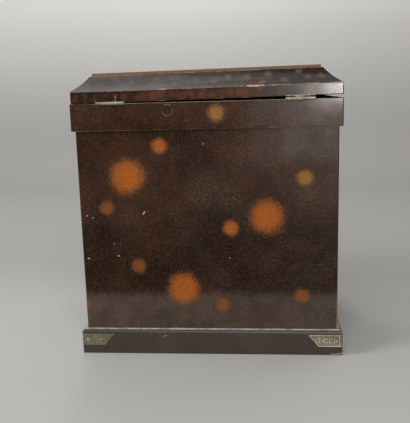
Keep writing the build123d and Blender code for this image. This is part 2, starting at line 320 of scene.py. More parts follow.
def new_effect(name: str, numbers: Sequence[str], outputs: Sequence[str]) -> tuple[Sheet, dict, dict]:
    """Starts a shared effect, which reads the coordinates and a few numbers.

    Args:
        name: The effect's name.
        numbers: The names of its numbers.
        outputs: The names of its values.

    Returns:
        The sheet, the inputs by name, and the outputs' sockets by name.
    """
    tree = bpy.data.node_groups.new(name, "ShaderNodeTree")
    tree.interface.new_socket("Vector", in_out="INPUT", socket_type="NodeSocketVector")
    for side, labels in (("INPUT", numbers), ("OUTPUT", outputs)):
        for label in labels:
            tree.interface.new_socket(label, in_out=side, socket_type="NodeSocketFloat")
    sheet = Sheet(tree)
    given = {s.name: s for s in sheet.node("NodeGroupInput").outputs if s.name}
    made = {s.name: s for s in sheet.node("NodeGroupOutput").inputs if s.name}
    sheet.at = given["Vector"]
    return sheet, given, made


def edge_wear_effect() -> bpy.types.NodeTree:
    """Wear along a box's edges: the second smallest way to its faces is the way to its nearest edge.

    Returns:
        The effect's tree.
    """
    patches = Noise(38.0, 3.0)
    spread_share = 0.4
    reach_step = Step(0.48, 0.74, 0.05, 1.9)
    ragged, ragged_width = Noise(900.0, 3.0, 0.65), 1.6
    worn_step = Step(1.1, 0.75)

    numbers = ("Half Width", "Half Depth", "Low", "High", "Reach", "Spread")
    sheet, given, made = new_effect("edge wear", numbers, ["Worn"])
    place = sheet.parts(sheet.at)
    across = sheet.maths("SUBTRACT", given["Half Width"], sheet.maths("ABSOLUTE", place["X"]))
    through = sheet.maths("SUBTRACT", given["Half Depth"], sheet.maths("ABSOLUTE", place["Y"]))
    above = sheet.maths("SUBTRACT", given["High"], place["Z"])
    under = sheet.maths("SUBTRACT", place["Z"], given["Low"])
    level = sheet.maths("MINIMUM", above, under)
    nearest = sheet.maths("MINIMUM", across, through)
    farthest = sheet.maths("MAXIMUM", across, through)
    edge = sheet.maths("MAXIMUM", nearest, sheet.maths("MINIMUM", farthest, level))
    spread = sheet.total(sheet.noise(patches), sheet.product(given["Spread"], spread_share))
    reach = sheet.product(given["Reach"], sheet.ramp(spread, reach_step))
    ratio = sheet.total(sheet.maths("DIVIDE", edge, reach), sheet.swing(ragged, ragged_width))
    sheet.feed(made["Worn"], sheet.ramp(ratio, worn_step))
    return sheet.tree


def sprinkled_powder_effect() -> bpy.types.NodeTree:
    """Fine metal grains sprinkled in the lacquer, denser in some clouds.

    Returns:
        The effect's tree.
    """
    dense = Patches(Noise(26.0, 4.0, 0.6), Step(0.42, 0.7, 0.22, 1.2))
    grain_edge = Step(0.46, 0.2)

    sheet, given, made = new_effect("sprinkled powder", ["Scale", "Cover"], ["Grains", "Tone"])
    grain = sheet.cells(given["Scale"])
    hue = sheet.node("ShaderNodeSeparateColor")
    sheet.feed(hue.inputs[0], grain.outputs["Color"])
    share = sheet.product(given["Cover"], sheet.patches(dense))
    kept = sheet.maths("LESS_THAN", hue.outputs[0], share)
    sheet.feed(made["Grains"], sheet.product(kept, sheet.ramp(grain.outputs["Distance"], grain_edge)))
    sheet.feed(made["Tone"], hue.outputs[1])
    return sheet.tree


def scratches_effect() -> bpy.types.NodeTree:
    """Hair scratches in two directions, only where the surface has been rubbed.

    Returns:
        The effect's tree.
    """
    runs = (((0.3, 0.9, 0.5), (40.0, 40.0, 1300.0)), ((1.2, 0.2, 2.1), (1100.0, 30.0, 50.0)))
    streaks, streak_level, thin = Noise(1.0, 1.0), 0.62, Step(0.018, 0.004)
    rubbed = Patches(Noise(31.0), Step(0.5, 0.68))

    sheet, given, made = new_effect("scratches", ["Amount"], ["Lines"])
    lines: object = 0.0
    for turn, stretch in runs:
        streak = sheet.noise(streaks, sheet.placed(sheet.at, turn, stretch))
        lines = sheet.maths("MAXIMUM", lines, sheet.ramp(sheet.gap(streak, streak_level), thin))
    sheet.feed(made["Lines"], sheet.product(lines, sheet.patches(rubbed), given["Amount"]))
    return sheet.tree


def settled_dust_effect() -> bpy.types.NodeTree:
    """Patchy dust on surfaces that look up, and in a line at one height.

    Returns:
        The effect's tree.
    """
    looks_up = Step(0.8, 0.98)
    lying_patches = Patches(Noise(160.0, 4.0, 0.65), Step(0.3, 0.6, 0.35, 1.0))
    line_patches = Patches(Noise(75.0, 5.0, 0.7), Step(0.42, 0.62, 0.1, 0.8))

    sheet, given, made = new_effect("settled dust", ["Amount", "Line", "Line Width"], ["Dust"])
    up = sheet.parts(sheet.node("ShaderNodeNewGeometry").outputs["Normal"])["Z"]
    lying = sheet.product(sheet.ramp(up, looks_up), sheet.patches(lying_patches), given["Amount"])
    from_line = sheet.gap(sheet.parts(sheet.at)["Z"], given["Line"])
    line = sheet.ramp(from_line, Step(given["Line Width"], 0.0))
    gathered = sheet.product(line, sheet.patches(line_patches))
    sheet.feed(made["Dust"], sheet.maths("MAXIMUM", lying, gathered))
    return sheet.tree


@dataclass(frozen=True)
class Spot:
    """A round patch on a face: its place and its radius, in metres."""

    at: Vector
    radius: float


def spots_effect(name: str, spots: Sequence[Spot]) -> bpy.types.NodeTree:
    """Distance to the nearest of a list of spots, as a share of its radius.

    Args:
        name: The effect's name.
        spots: The spots.

    Returns:
        The effect's tree.
    """
    sheet, given, made = new_effect(name, [], ["Share"])
    nearest: object = FAR_SHARE
    for spot in spots:
        away = sheet.vector("DISTANCE", sheet.at, tuple(spot.at)).outputs["Value"]
        nearest = sheet.maths("MINIMUM", nearest, sheet.maths("DIVIDE", away, spot.radius))
    sheet.feed(made["Share"], nearest)
    return sheet.tree


class Effects:
    """The effects that every finish shares."""

    def __init__(self) -> None:
        """Builds each of them once."""
        self.edge_wear = edge_wear_effect()
        self.powder = sprinkled_powder_effect()
        self.scratches = scratches_effect()
        self.dust = settled_dust_effect()


class Marks:
    """The placed marks of one sub-assembly."""

    def __init__(self, owner: str, **places: Sequence[Spot]) -> None:
        """Builds an effect for each kind of mark.

        Args:
            owner: The sub-assembly's name.
            places: The spots of each kind: orange, faint, golden, sprinkles, nicks, rubs or rings.
        """
        self.kinds = {kind: spots_effect(f"{owner} {kind}", spots) for kind, spots in places.items()}

    def share(self, sheet: Sheet, kind: str) -> object:
        """The distance to the nearest mark of one kind, as a share of its radius.

        Args:
            sheet: The material's sheet.
            kind: The kind of mark.

        Returns:
            The share, or a large number where there is no such mark.
        """
        if kind not in self.kinds:
            return FAR_SHARE
        return sheet.group(self.kinds[kind]).outputs["Share"]


# Finishes


@dataclass(frozen=True)
class Shell:
    """The box whose edges wear: half its width and depth, its underside and its top."""

    half_width: float
    half_depth: float
    low: float
    high: float


def start_material(name: str) -> tuple[bpy.types.Material, Sheet]:
    """A new material, whose patterns read the coordinates of the object.

    Args:
        name: The material's name.

    Returns:
        The material and its sheet.
    """
    material = bpy.data.materials.new(name)
    material.use_nodes = True
    material.node_tree.nodes.clear()
    sheet = Sheet(material.node_tree)
    sheet.at = sheet.node("ShaderNodeTexCoord").outputs["Object"]
    return material, sheet


@dataclass(frozen=True)
class LacquerFinish:
    """Brown lacquer with sprinkled powder, spots, wear and dust."""

    # The body of the lacquer, paler high up as painted sheen
    dark: Colour = (0.0120, 0.0044, 0.0022)
    warm: Colour = (0.0315, 0.0112, 0.0046)
    fleck: Colour = (0.100, 0.0345, 0.0098)
    clouds: Noise = Noise(22.0, 5.0, 0.6)
    cloud_edge: Step = Step(0.42, 0.72)
    painted_sheen_by_height: Step = Step(0.11, 0.19, -0.05, 0.15)
    mottle: Patches = Patches(Noise(540.0, 4.0, 0.8), Step(0.5, 0.64))
    mottle_in_clouds: Step = Step(0.0, 1.0, 0.45, 0.8)

    # Sprinkled grains
    grain_red: Colour = (0.19, 0.052, 0.015)
    grain_gold: Colour = (0.25, 0.14, 0.052)
    grain_scale: float = 1050.0
    grain_strength: float = 0.42
    cover: float = 0.5

    # Powdered spots with ragged edges, and drifts of golden powder
    orange_core: Colour = (0.405, 0.100, 0.0055)
    orange_rim: Colour = (0.27, 0.078, 0.012)
    faint_core: Colour = (0.215, 0.060, 0.0085)
    faint_rim: Colour = (0.16, 0.050, 0.010)
    golden_core: Colour = (0.31, 0.135, 0.022)
    golden_rim: Colour = (0.19, 0.085, 0.022)
    spot_strength: float = 1.0
    spot_edge: Step = Step(1.14, 0.7)
    spot_heart: Step = Step(0.98, 0.4)
    spot_grain: Patches = Patches(Noise(900.0, 2.0, 0.6), Step(0.32, 0.58, 0.4, 1.0))
    fringe: Noise = Noise(760.0, 3.0, 0.72)
    fringe_width: float = 1.9
    sway: Noise = Noise(95.0)
    sway_width: float = 0.42
    drift: Noise = Noise(48.0, 4.0, 0.6)
    drift_width: float = 1.1
    drift_edge: Step = Step(1.0, 0.15)
    drift_grain: Patches = Patches(Noise(760.0, 3.0, 0.66), Step(0.53, 0.62))
    drift_strength: float = 0.5

    # Rubs, worn edges and nicks
    rub: Colour = (0.42, 0.15, 0.04)
    rub_strength: float = 0.85
    rub_edge: Step = Step(0.9, 0.3)
    rub_grain: Noise = Noise(1000.0, 3.0, 0.6)
    rub_sway: Noise = Noise(140.0)
    rub_sway_share: float = 0.5
    rub_scatter: float = 1.2
    worn: Colour = (0.26, 0.14, 0.065)
    worn_reach: float = 0.5 * MM
    worn_spread: float = 0.0
    worn_strength: float = 0.85
    nick: Colour = (0.55, 0.49, 0.40)
    nick_edge: Step = Step(1.0, 0.6)

    # Dust, the ring left by a cup, and scratches
    dust: Colour = (0.52, 0.475, 0.395)
    dust_amount: float = 0.25
    dust_line: float = -1.0
    dust_line_width: float = 0.5 * MM
    ring_edge: Step = Step(0.13, 0.03)
    ring_arcs: Patches = Patches(Noise(120.0), Step(0.42, 0.64, 0.0, 0.3))
    scratch_amount: float = 0.28
    scratch_strength: float = 0.3

    # Gloss
    roughness: float = 0.34
    specular: float = 0.22
    coat_roughness: float = 0.08
    coat_ior: float = 1.95
    coat_clouds: Patches = Patches(Noise(46.0, 6.0, 0.66), Step(0.36, 0.64, 0.66, 1.0))
    smears: Patches = Patches(Noise(34.0, 4.0, 0.6), Step(0.35, 0.7, -0.06, 0.1))
    spots_matt: float = 0.82
    matt_roughness: float = 0.3

    # Relief, as shares of the bump's height
    bump_strength: float = 0.6
    bump_height: float = 0.6 * MM
    wave: Noise = Noise(55.0)
    wave_rise: float = 0.5
    grain_rise: float = 0.03
    spot_rise: float = 0.05
    bare_depth: float = 0.12
    scratch_depth: float = 0.03

    # Faces that meet under the lid: unpolished, with painted shade for the dark gap between lid and collar
    painted_seam_shade: Colour = (0.0045, 0.0032, 0.0026)
    seam_above: float = math.inf
    seam_below: float = -math.inf

    def dress(
        self, name: str, effects: Effects, marks: Marks, shell: Shell, lean: float = 0.0, pivot: float = 0.0,
    ) -> bpy.types.Material:
        """Builds the material.

        Args:
            name: The material's name.
            effects: The shared effects.
            marks: The marks of the sub-assembly.
            shell: The box whose edges wear.
            lean: How far the piece leans to +X, in radians.
            pivot: The height about which it leans.

        Returns:
            The material.
        """
        material, sheet = start_material(name)
        if lean:
            lowered = sheet.vector("SUBTRACT", sheet.at, (0.0, 0.0, pivot)).outputs[0]
            sheet.at = sheet.placed(lowered, (0.0, -lean, 0.0), (1.0, 1.0, 1.0))
        powder = sheet.group(effects.powder, Scale=self.grain_scale, Cover=self.cover)
        colour = self.ground(sheet, powder)
        colour, spotted = self.spotted(sheet, colour, marks)
        colour, bare, lines = self.damaged(sheet, colour, marks, shell, effects)
        rough, coat = self.gloss(sheet, spotted, bare)
        colour, rough, coat = self.seam_with_painted_shade(sheet, colour, rough, coat)
        height = self.relief(sheet, powder, spotted, bare, lines)
        sheet.surface(
            Base_Color=colour, Roughness=rough, Specular_IOR_Level=self.specular,
            Coat_Weight=coat, Coat_Roughness=self.coat_roughness, Coat_IOR=self.coat_ior,
            Normal=sheet.bump(height, self.bump_strength, self.bump_height),
        )
        return material

    def ground(self, sheet: Sheet, powder: bpy.types.Node) -> object:
        """The body of the lacquer: slow brown clouds, paler high up as painted sheen, fine mottle and
        sprinkled grains.

        Args:
            sheet: The material's sheet.
            powder: The powder effect.

        Returns:
            The colour.
        """
        # Painted sheen: the clouds turn warmer and paler with height
        painted_sheen_by_height = sheet.ramp(sheet.parts(sheet.at)["Z"], self.painted_sheen_by_height)
        clouds = sheet.ramp(sheet.total(sheet.noise(self.clouds), painted_sheen_by_height), self.cloud_edge)
        colour = sheet.blend(clouds, self.dark, self.warm)
        mottle = sheet.product(sheet.patches(self.mottle), sheet.ramp(clouds, self.mottle_in_clouds))
        colour = sheet.blend(mottle, colour, self.fleck)
        grain = sheet.blend(powder.outputs["Tone"], self.grain_red, self.grain_gold)
        return sheet.blend(sheet.product(powder.outputs["Grains"], self.grain_strength), colour, grain)

    def spotted(self, sheet: Sheet, colour: object, marks: Marks) -> tuple[object, object]:
        """Adds drifts of golden powder and the powdered spots, with ragged edges.

        Args:
            sheet: The material's sheet.
            colour: The colour under them.
            marks: The marks of the sub-assembly.

        Returns:
            The colour and the mask of the spots.
        """
        drift = sheet.swing(self.drift, self.drift_width)
        thick = sheet.ramp(sheet.total(marks.share(sheet, "sprinkles"), drift), self.drift_edge)
        sown = sheet.product(thick, sheet.patches(self.drift_grain), self.drift_strength)
        colour = sheet.blend(sown, colour, self.grain_gold)

        fringe = sheet.swing(self.fringe, self.fringe_width)
        ragged = sheet.total(fringe, sheet.swing(self.sway, self.sway_width))
        grain = sheet.patches(self.spot_grain)
        mask: object = 0.0
        for kind, core, rim in (
            ("orange", self.orange_core, self.orange_rim),
            ("faint", self.faint_core, self.faint_rim),
            ("golden", self.golden_core, self.golden_rim),
        ):
            share = marks.share(sheet, kind)
            torn = sheet.ramp(sheet.total(share, ragged), self.spot_edge)
            inside = sheet.product(torn, grain, self.spot_strength)
            colour = sheet.blend(inside, colour, sheet.blend(sheet.ramp(share, self.spot_heart), rim, core))
            mask = sheet.maths("MAXIMUM", mask, inside)
        return colour, mask

    def damaged(
        self, sheet: Sheet, colour: object, marks: Marks, shell: Shell, effects: Effects,
    ) -> tuple[object, object, object]:
        """Adds rubs, worn edges, nicks, a ring left by a cup, scratches and dust.

        Args:
            sheet: The material's sheet.
            colour: The colour under them.
            marks: The marks of the sub-assembly.
            shell: The box whose edges wear.
            effects: The shared effects.

        Returns:
            The colour, the mask of bare places and the scratches.
        """
        fine = sheet.swing(self.rub_grain, self.rub_scatter)
        coarse = sheet.swing(self.rub_sway, self.rub_sway_share * self.rub_scatter)
        scatter = sheet.total(fine, coarse)
        rubbed = sheet.ramp(sheet.total(marks.share(sheet, "rubs"), scatter), self.rub_edge)
        colour = sheet.blend(sheet.product(rubbed, self.rub_strength), colour, self.rub)
        wear = sheet.group(
            effects.edge_wear, Half_Width=shell.half_width, Half_Depth=shell.half_depth,
            Low=shell.low, High=shell.high, Reach=self.worn_reach, Spread=self.worn_spread,
        ).outputs["Worn"]
        colour = sheet.blend(sheet.product(wear, self.worn_strength), colour, self.worn)
        nick = sheet.ramp(marks.share(sheet, "nicks"), self.nick_edge)
        colour = sheet.blend(nick, colour, self.nick)
        ring = sheet.ramp(sheet.gap(marks.share(sheet, "rings"), 1.0), self.ring_edge)
        colour = sheet.blend(sheet.product(ring, sheet.patches(self.ring_arcs)), colour, self.dust)
        lines = sheet.group(effects.scratches, Amount=self.scratch_amount).outputs["Lines"]
        colour = sheet.blend(sheet.product(lines, self.scratch_strength), colour, self.dust)
        dust = sheet.group(
            effects.dust, Amount=self.dust_amount,
            Line=self.dust_line, Line_Width=self.dust_line_width,
        ).outputs["Dust"]
        colour = sheet.blend(dust, colour, self.dust)
        bare = sheet.maths("MAXIMUM", wear, sheet.maths("MAXIMUM", nick, dust))
        return colour, bare, lines

    def gloss(self, sheet: Sheet, spotted: object, bare: object) -> tuple[object, object]:
        """Roughness and clear coat, less glossy where the lacquer is worn, spotted or dusty.

        Args:
            sheet: The material's sheet.
            spotted: The mask of the spots.
            bare: The mask of bare places.

        Returns:
            The roughness and the coat's weight.
        """
        matt = sheet.maths("MAXIMUM", bare, sheet.product(spotted, self.spots_matt))
        smeared = sheet.total(sheet.patches(self.smears), self.roughness)
        rough = sheet.maths("ADD", smeared, sheet.product(matt, self.matt_roughness), clamp=True)
        polished = sheet.maths("SUBTRACT", 1.0, matt, clamp=True)
        return rough, sheet.product(polished, sheet.patches(self.coat_clouds))

    def seam_with_painted_shade(
        self, sheet: Sheet, colour: object, rough: object, coat: object,
    ) -> tuple[object, object, object]:
        """Paints shade on the faces that meet under the lid and makes them unpolished.

        Args:
            sheet: The material's sheet.
            colour: The colour elsewhere.
            rough: The roughness elsewhere.
            coat: The coat's weight elsewhere.

        Returns:
            The colour, the roughness and the coat's weight.
        """
        for limit, side in ((self.seam_above, "GREATER_THAN"), (self.seam_below, "LESS_THAN")):
            if math.isfinite(limit):
                meeting = sheet.maths(side, sheet.parts(sheet.at)["Z"], limit)
                # Painted shade: the faces in the gap under the lid take a near-black colour
                colour = sheet.blend(meeting, colour, self.painted_seam_shade)
                rough = sheet.maths("MAXIMUM", rough, meeting)
                coat = sheet.product(coat, sheet.maths("SUBTRACT", 1.0, meeting))
        return colour, rough, coat

    def relief(
        self, sheet: Sheet, powder: bpy.types.Node, spotted: object, bare: object, lines: object,
    ) -> object:
        """Waviness, grains and spots that stand proud, and chipped edges and scratches.

        Args:
            sheet: The material's sheet.
            powder: The powder effect.
            spotted: The mask of the spots.
            bare: The mask of bare places.
            lines: The scratches.

        Returns:
            The height for the bump.
        """
        wave = sheet.product(sheet.noise(self.wave), self.wave_rise)
        grains = sheet.product(powder.outputs["Grains"], self.grain_rise)
        proud = sheet.total(grains, sheet.product(spotted, self.spot_rise))
        sunk = sheet.total(sheet.product(bare, self.bare_depth), sheet.product(lines, self.scratch_depth))
        return sheet.maths("SUBTRACT", sheet.total(wave, proud), sunk)


@dataclass(frozen=True)
class MetalFinish:
    """Aged white bronze: brighter where it is rubbed, brown in the hollows."""

    bright: Colour = (0.40, 0.37, 0.285)
    dull: Colour = (0.19, 0.178, 0.13)
    stain: Colour = (0.07, 0.058, 0.036)
    metallic: float = 0.45
    roughness: float = 0.42
    stained_roughness: float = 0.2
    patina: Patches = Patches(Noise(190.0, 5.0, 0.65), Step(0.34, 0.66))
    stains: Patches = Patches(Noise(620.0, 4.0, 0.7), Step(0.58, 0.74))
    stain_strength: float = 0.6
    pitted: float = 0.0
    pit_scale: float = 1150.0
    pit_edge: Step = Step(0.5, 0.15)
    pit_stain: float = 0.4
    scratch_amount: float = 0.8
    scratch_strength: float = 0.4

    # The sunk ground of a mount, how far its border stands over it, and the shares of that between which
    # the dirt thins out
    ground: Shell | None = None
    border_rise: float = 0.25 * MM
    clean_above: float = 0.75
    dirty_below: float = 0.25
    ground_stain: float = 0.75

    # Relief, as shares of the bump's height
    bump_strength: float = 0.5
    bump_height: float = 0.2 * MM
    patina_rise: float = 0.25
    pit_depth: float = 0.6
    scratch_depth: float = 0.2

    def dress(self, name: str, effects: Effects) -> bpy.types.Material:
        """Builds the material.

        Args:
            name: The material's name.
            effects: The shared effects.

        Returns:
            The material.
        """
        material, sheet = start_material(name)
        patina = sheet.patches(self.patina)
        colour = sheet.blend(patina, self.dull, self.bright)
        stains = sheet.patches(self.stains)
        colour = sheet.blend(sheet.product(stains, self.stain_strength), colour, self.stain)
        pits = sheet.ramp(sheet.cells(self.pit_scale).outputs["Distance"], self.pit_edge)
        pits = sheet.product(pits, self.pitted)
        colour = sheet.blend(sheet.product(pits, self.pit_stain), colour, self.stain)
        if self.ground:
            colour = sheet.blend(self.sunk(sheet), colour, self.stain)
        lines = sheet.group(effects.scratches, Amount=self.scratch_amount).outputs["Lines"]
        colour = sheet.blend(sheet.product(lines, self.scratch_strength), colour, self.bright)
        hollows = sheet.total(sheet.product(pits, self.pit_depth), sheet.product(lines, self.scratch_depth))
        height = sheet.maths("SUBTRACT", sheet.product(patina, self.patina_rise), hollows)
        dirty = sheet.product(sheet.total(stains, pits), self.stained_roughness)

        sheet.surface(
            Base_Color=colour, Metallic=self.metallic,
            Roughness=sheet.maths("ADD", dirty, self.roughness, clamp=True),
            Normal=sheet.bump(height, self.bump_strength, self.bump_height),
        )
        return material

    def sunk(self, sheet: Sheet) -> object:
        """The dirt on the sunk ground of a mount.

        Args:
            sheet: The material's sheet.

        Returns:
            The mask of the dirt.
        """
        place = sheet.parts(sheet.at)
        across = sheet.maths("SUBTRACT", sheet.maths("ABSOLUTE", place["X"]), self.ground.half_width)
        through = sheet.maths("SUBTRACT", sheet.maths("ABSOLUTE", place["Y"]), self.ground.half_depth)
        edge = Step(self.clean_above * self.border_rise, self.dirty_below * self.border_rise)
        return sheet.product(sheet.ramp(sheet.maths("MAXIMUM", across, through), edge), self.ground_stain)


MOUNT_FINISH = MetalFinish(bright=(0.82, 0.77, 0.60), dull=(0.50, 0.47, 0.35), pitted=0.6)
DULL_MOUNT_FINISH = MetalFinish(bright=(0.25, 0.235, 0.165), dull=(0.16, 0.152, 0.105), ground_stain=0.12)
HINGE_FINISH = MetalFinish(bright=(0.42, 0.375, 0.275), dull=(0.2, 0.18, 0.125))
PULL_FINISH = MetalFinish(metallic=0.7, pitted=0.4)
LINING_FINISH = LacquerFinish(
    dark=(0.05, 0.014, 0.008), warm=(0.07, 0.02, 0.011), fleck=(0.09, 0.03, 0.015),
    cover=0.3, roughness=0.5, coat_roughness=0.3, worn_reach=0.3 * MM,
)


# Meshes

SAME_PLACE = 0.001 * MM


def finish_mesh(
    bm: bmesh.types.BMesh, name: str, material: bpy.types.Material, smooth_below: float,
) -> bpy.types.Object:
    """Turns a bmesh into a shown object at the origin.

    Args:
        bm: The piece, in place.
        name: The object's name.
        material: Its finish.
        smooth_below: Edges flatter than this angle are shaded smooth, in degrees.

    Returns:
        The object.
    """
    bmesh.ops.recalc_face_normals(bm, faces=bm.faces)
    mesh = bpy.data.meshes.new(name)
    bm.to_mesh(mesh)
    bm.free()
    mesh.shade_smooth()
    mesh.set_sharp_from_angle(angle=math.radians(smooth_below))
    mesh.materials.append(material)
    made = bpy.data.objects.new(name, mesh)
    bpy.context.scene.collection.objects.link(made)
    return made


def outline_face(bm: bmesh.types.BMesh, points: Sequence[tuple[float, float]]) -> bmesh.types.BMFace:
    """A flat face from a few corners in the XY plane.

    Args:
        bm: Where it goes.
        points: Its corners, in order.

    Returns:
        The face.
    """
    return bm.faces.new([bm.verts.new((x, y, 0.0)) for x, y in points])


def raise_face(
    bm: bmesh.types.BMesh, faces: Sequence[bmesh.types.BMFace], height: float,
) -> list[bmesh.types.BMFace]:
    """Extrudes faces along Z.

    Args:
        bm: Their mesh.
        faces: What is extruded.
        height: How far.

    Returns:
        The faces at the far end.
    """
    grown = bmesh.ops.extrude_face_region(bm, geom=list(faces))["geom"]
    moved = [g for g in grown if isinstance(g, bmesh.types.BMVert)]
    bmesh.ops.translate(bm, vec=(0.0, 0.0, height), verts=moved)
    return [g for g in grown if isinstance(g, bmesh.types.BMFace)]


def raised_sheet(
    bm: bmesh.types.BMesh, outline: Sequence[tuple[float, float]], height: float, border: float, rise: float,
) -> None:
    """A flat sheet whose top is moved inside a border: up to a crown, or down to a sunk ground.

    Args:
        bm: Where it goes.
        outline: The corners of its underside, in order.
        height: Its height at the border.
        border: The border's width.
        rise: How far the top moves inside the border.
    """
    near_top = 0.9 * height
    top = raise_face(bm, [outline_face(bm, outline)], height)
    rim = bmesh.ops.inset_region(bm, faces=top, thickness=border, use_even_offset=True)["faces"]
    middle = [f for f in bm.faces if f not in rim and f.calc_center_median().z > near_top]
    bmesh.ops.translate(bm, vec=(0.0, 0.0, rise), verts=list({v for f in middle for v in f.verts}))


def soften(bm: bmesh.types.BMesh, width: float, segments: int, least: float) -> None:
    """Bevels every edge that turns by more than an angle.

    Args:
        bm: The mesh.
        width: The bevel's width.
        segments: Its steps.
        least: The least turn, in degrees.
    """
    bmesh.ops.remove_doubles(bm, verts=bm.verts, dist=SAME_PLACE)
    bm.normal_update()
    turned = [e for e in bm.edges if len(e.link_faces) == 2 and e.calc_face_angle(0.0) > math.radians(least)]
    bmesh.ops.bevel(
        bm, geom=turned, offset=width, segments=segments, profile=0.5, affect="EDGES", material=-1,
    )


def swept_wire(path: Sequence[Vector], radii: Sequence[float], sides: int = 16) -> bmesh.types.BMesh:
    """A round wire along a path, made by extruding a circle from point to point, with softened ends.

    Args:
        path: The wire's middle line.
        radii: Its radius at each point.
        sides: Corners of its section.

    Returns:
        The closed mesh.
    """
    end_bevel, end_steps, end_turn = 0.4, 3, 60.0
    bm = bmesh.new()
    ring = bmesh.ops.create_circle(bm, cap_ends=True, segments=sides, radius=1.0)["verts"]
    face = ring[0].link_faces[0]
    before, after = [path[0], *path[:-1]], [*path[1:], path[-1]]
    directions = [(to - start).normalized() for start, to in zip(before, after)]
    turn = directions[0].to_track_quat("Z", "Y")
    bmesh.ops.transform(bm, matrix=Matrix.LocRotScale(path[0], turn, (radii[0],) * 3), verts=ring)
    for i in range(1, len(path)):
        face = bmesh.ops.extrude_discrete_faces(bm, faces=[face])["faces"][0]
        bend = directions[i - 1].rotation_difference(directions[i]).to_matrix().to_4x4()
        grow = Matrix.Scale(radii[i] / radii[i - 1], 4)
        move = Matrix.Translation(path[i]) @ bend @ grow @ Matrix.Translation(-path[i - 1])
        bmesh.ops.transform(bm, matrix=move, verts=face.verts)
    soften(bm, min(radii[0], radii[-1]) * end_bevel, end_steps, end_turn)
    return bm


# The profile of the lid, as the imported mouldings have it, and the skin of the faces that meet, which takes
# painted shade

RIM_HEIGHT = 12.0 * MM
SLOPE_INSET = 19.4 * MM
SLOPE_RISE = 16.3 * MM
PANEL_PROUD = 3.0 * MM
SEAM_SKIN = 0.15 * MM


@dataclass
class Sizes:
    """Places that the sub-assemblies share, in metres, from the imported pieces."""

    half_width: float = field(init=False)
    half_depth: float = field(init=False)
    plinth: Shell = field(init=False)
    body: Shell = field(init=False)
    collar: Shell = field(init=False)
    lean: float = field(init=False)
    lid_foot: float = field(init=False)

    def __post_init__(self) -> None:
        """Reads them."""
        plinth_low, plinth_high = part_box("plinth_back")
        back_low, back_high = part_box("back_board")
        collar_low, collar_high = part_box("collar_back")
        self.half_width, self.half_depth = back_high.x, back_high.y
        self.plinth = Shell(plinth_high.x, plinth_high.y, plinth_low.z, plinth_high.z)
        self.body = Shell(back_high.x, back_high.y, back_low.z, back_high.z)
        self.collar = Shell(collar_high.x, collar_high.y, collar_low.z, collar_high.z)
        left_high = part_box("lid_moulding_left")[1]
        right_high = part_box("lid_moulding_right")[1]
        self.lean = math.atan2(left_high.z - right_high.z, right_high.x - left_high.x)
        self.lid_foot = (left_high.z + right_high.z) / 2 - RIM_HEIGHT - SLOPE_RISE


# Spots, nicks and rubs on each face: place along it, height and radius, in millimetres

REAR_ORANGE = (
    (86.1, 200.7, 19.6), (49.7, 233.5, 8.8), (-64.3, 155.0, 19.2), (-25.3, 143.3, 8.9), (28.2, 75.5, 18.4),
)
REAR_FAINT = (
    (110.1, 166.8, 8.6), (77.7, 100.9, 9.2), (-14.7, 55.9, 8.6), (-101.5, 66.4, 8.6), (141.5, 56.5, 7.0),
)
# The golden spot high on the right of the rear: its olive tone is partly golden powder and partly painted
# sheen
REAR_GOLDEN = ((-104.6, 196.7, 9.6),)
FRONT_ORANGE = (
    (-96.0, 212.0, 9.0), (-58.0, 196.0, 17.5), (62.0, 221.0, 8.6),
    (-112.0, 148.0, 17.0), (-46.0, 164.0, 8.4), (38.0, 131.0, 9.2), (88.0, 152.0, 9.0),
    (-36.0, 60.0, 18.6), (58.0, 88.0, 18.0), (118.0, 54.0, 9.0), (-124.0, 47.0, 8.4),
)
FRONT_GOLDEN = ((104.0, 203.0, 15.5), (-84.0, 96.0, 9.0))
SIDE_ORANGE = (
    (-62.0, 214.0, 18.4), (-22.0, 190.0, 8.8), (70.0, 172.0, 17.6),
    (12.0, 146.0, 9.0), (-74.0, 118.0, 9.2), (-34.0, 88.0, 19.0), (76.0, 58.0, 17.0), (6.0, 52.0, 8.8),
)
SIDE_GOLDEN = ((54.0, 226.0, 9.2), (36.0, 96.0, 8.6))
COLLAR_GOLDEN = {
    # The collar's spot on the rear is olive partly as painted sheen
    Turn.REAR: ((-12.4, 267.0, 9.6),),
    Turn.FRONT: ((-78.0, 264.0, 9.0), (24.0, 268.0, 9.4), (112.0, 262.0, 8.4)),
    Turn.LEFT: ((-48.0, 266.0, 9.2), (40.0, 262.0, 8.8)),
    Turn.RIGHT: ((-66.0, 262.0, 8.8), (18.0, 267.0, 9.4)),
}
REAR_SPRINKLES = ((4.0, 184.0, 30.0), (-38.0, 222.0, 24.0), (-22.0, 176.0, 20.0), (-104.0, 178.0, 20.0))
FRONT_SPRINKLES = ((18.0, 182.0, 28.0), (-70.0, 118.0, 24.0), (84.0, 70.0, 22.0))
REAR_NICKS = (
    (69.5, 160.6, 0.9), (68.8, 161.9, 0.8), (70.3, 159.4, 0.7), (99.9, 112.7, 1.0),
    (133.5, 109.7, 0.9), (134.8, 109.9, 0.7), (133.0, 158.2, 0.8), (126.5, 156.1, 0.7),
    (104.2, 126.2, 0.6), (2.5, 234.7, 0.7), (-23.6, 109.7, 0.6),
)
# A worn stretch low on one corner, which thins out upwards
REAR_RUBS = tuple((-140.9, 31.0 + 3.1 * i, 3.3 - 0.1 * i) for i in range(12))
PLINTH_NICKS = (
    (50.0, 21.6, 0.7), (51.6, 20.6, 0.6), (-132.6, 1.6, 0.55), (-134.4, 1.5, 0.7), (-136.4, 1.3, 0.6),
    (-138.6, 1.5, 0.8), (-140.6, 1.8, 0.75), (-142.6, 1.7, 0.85), (-144.6, 2.6, 0.9), (-145.4, 4.6, 0.7),
)
RING_MARK = (39.1, 271.3, 5.8)
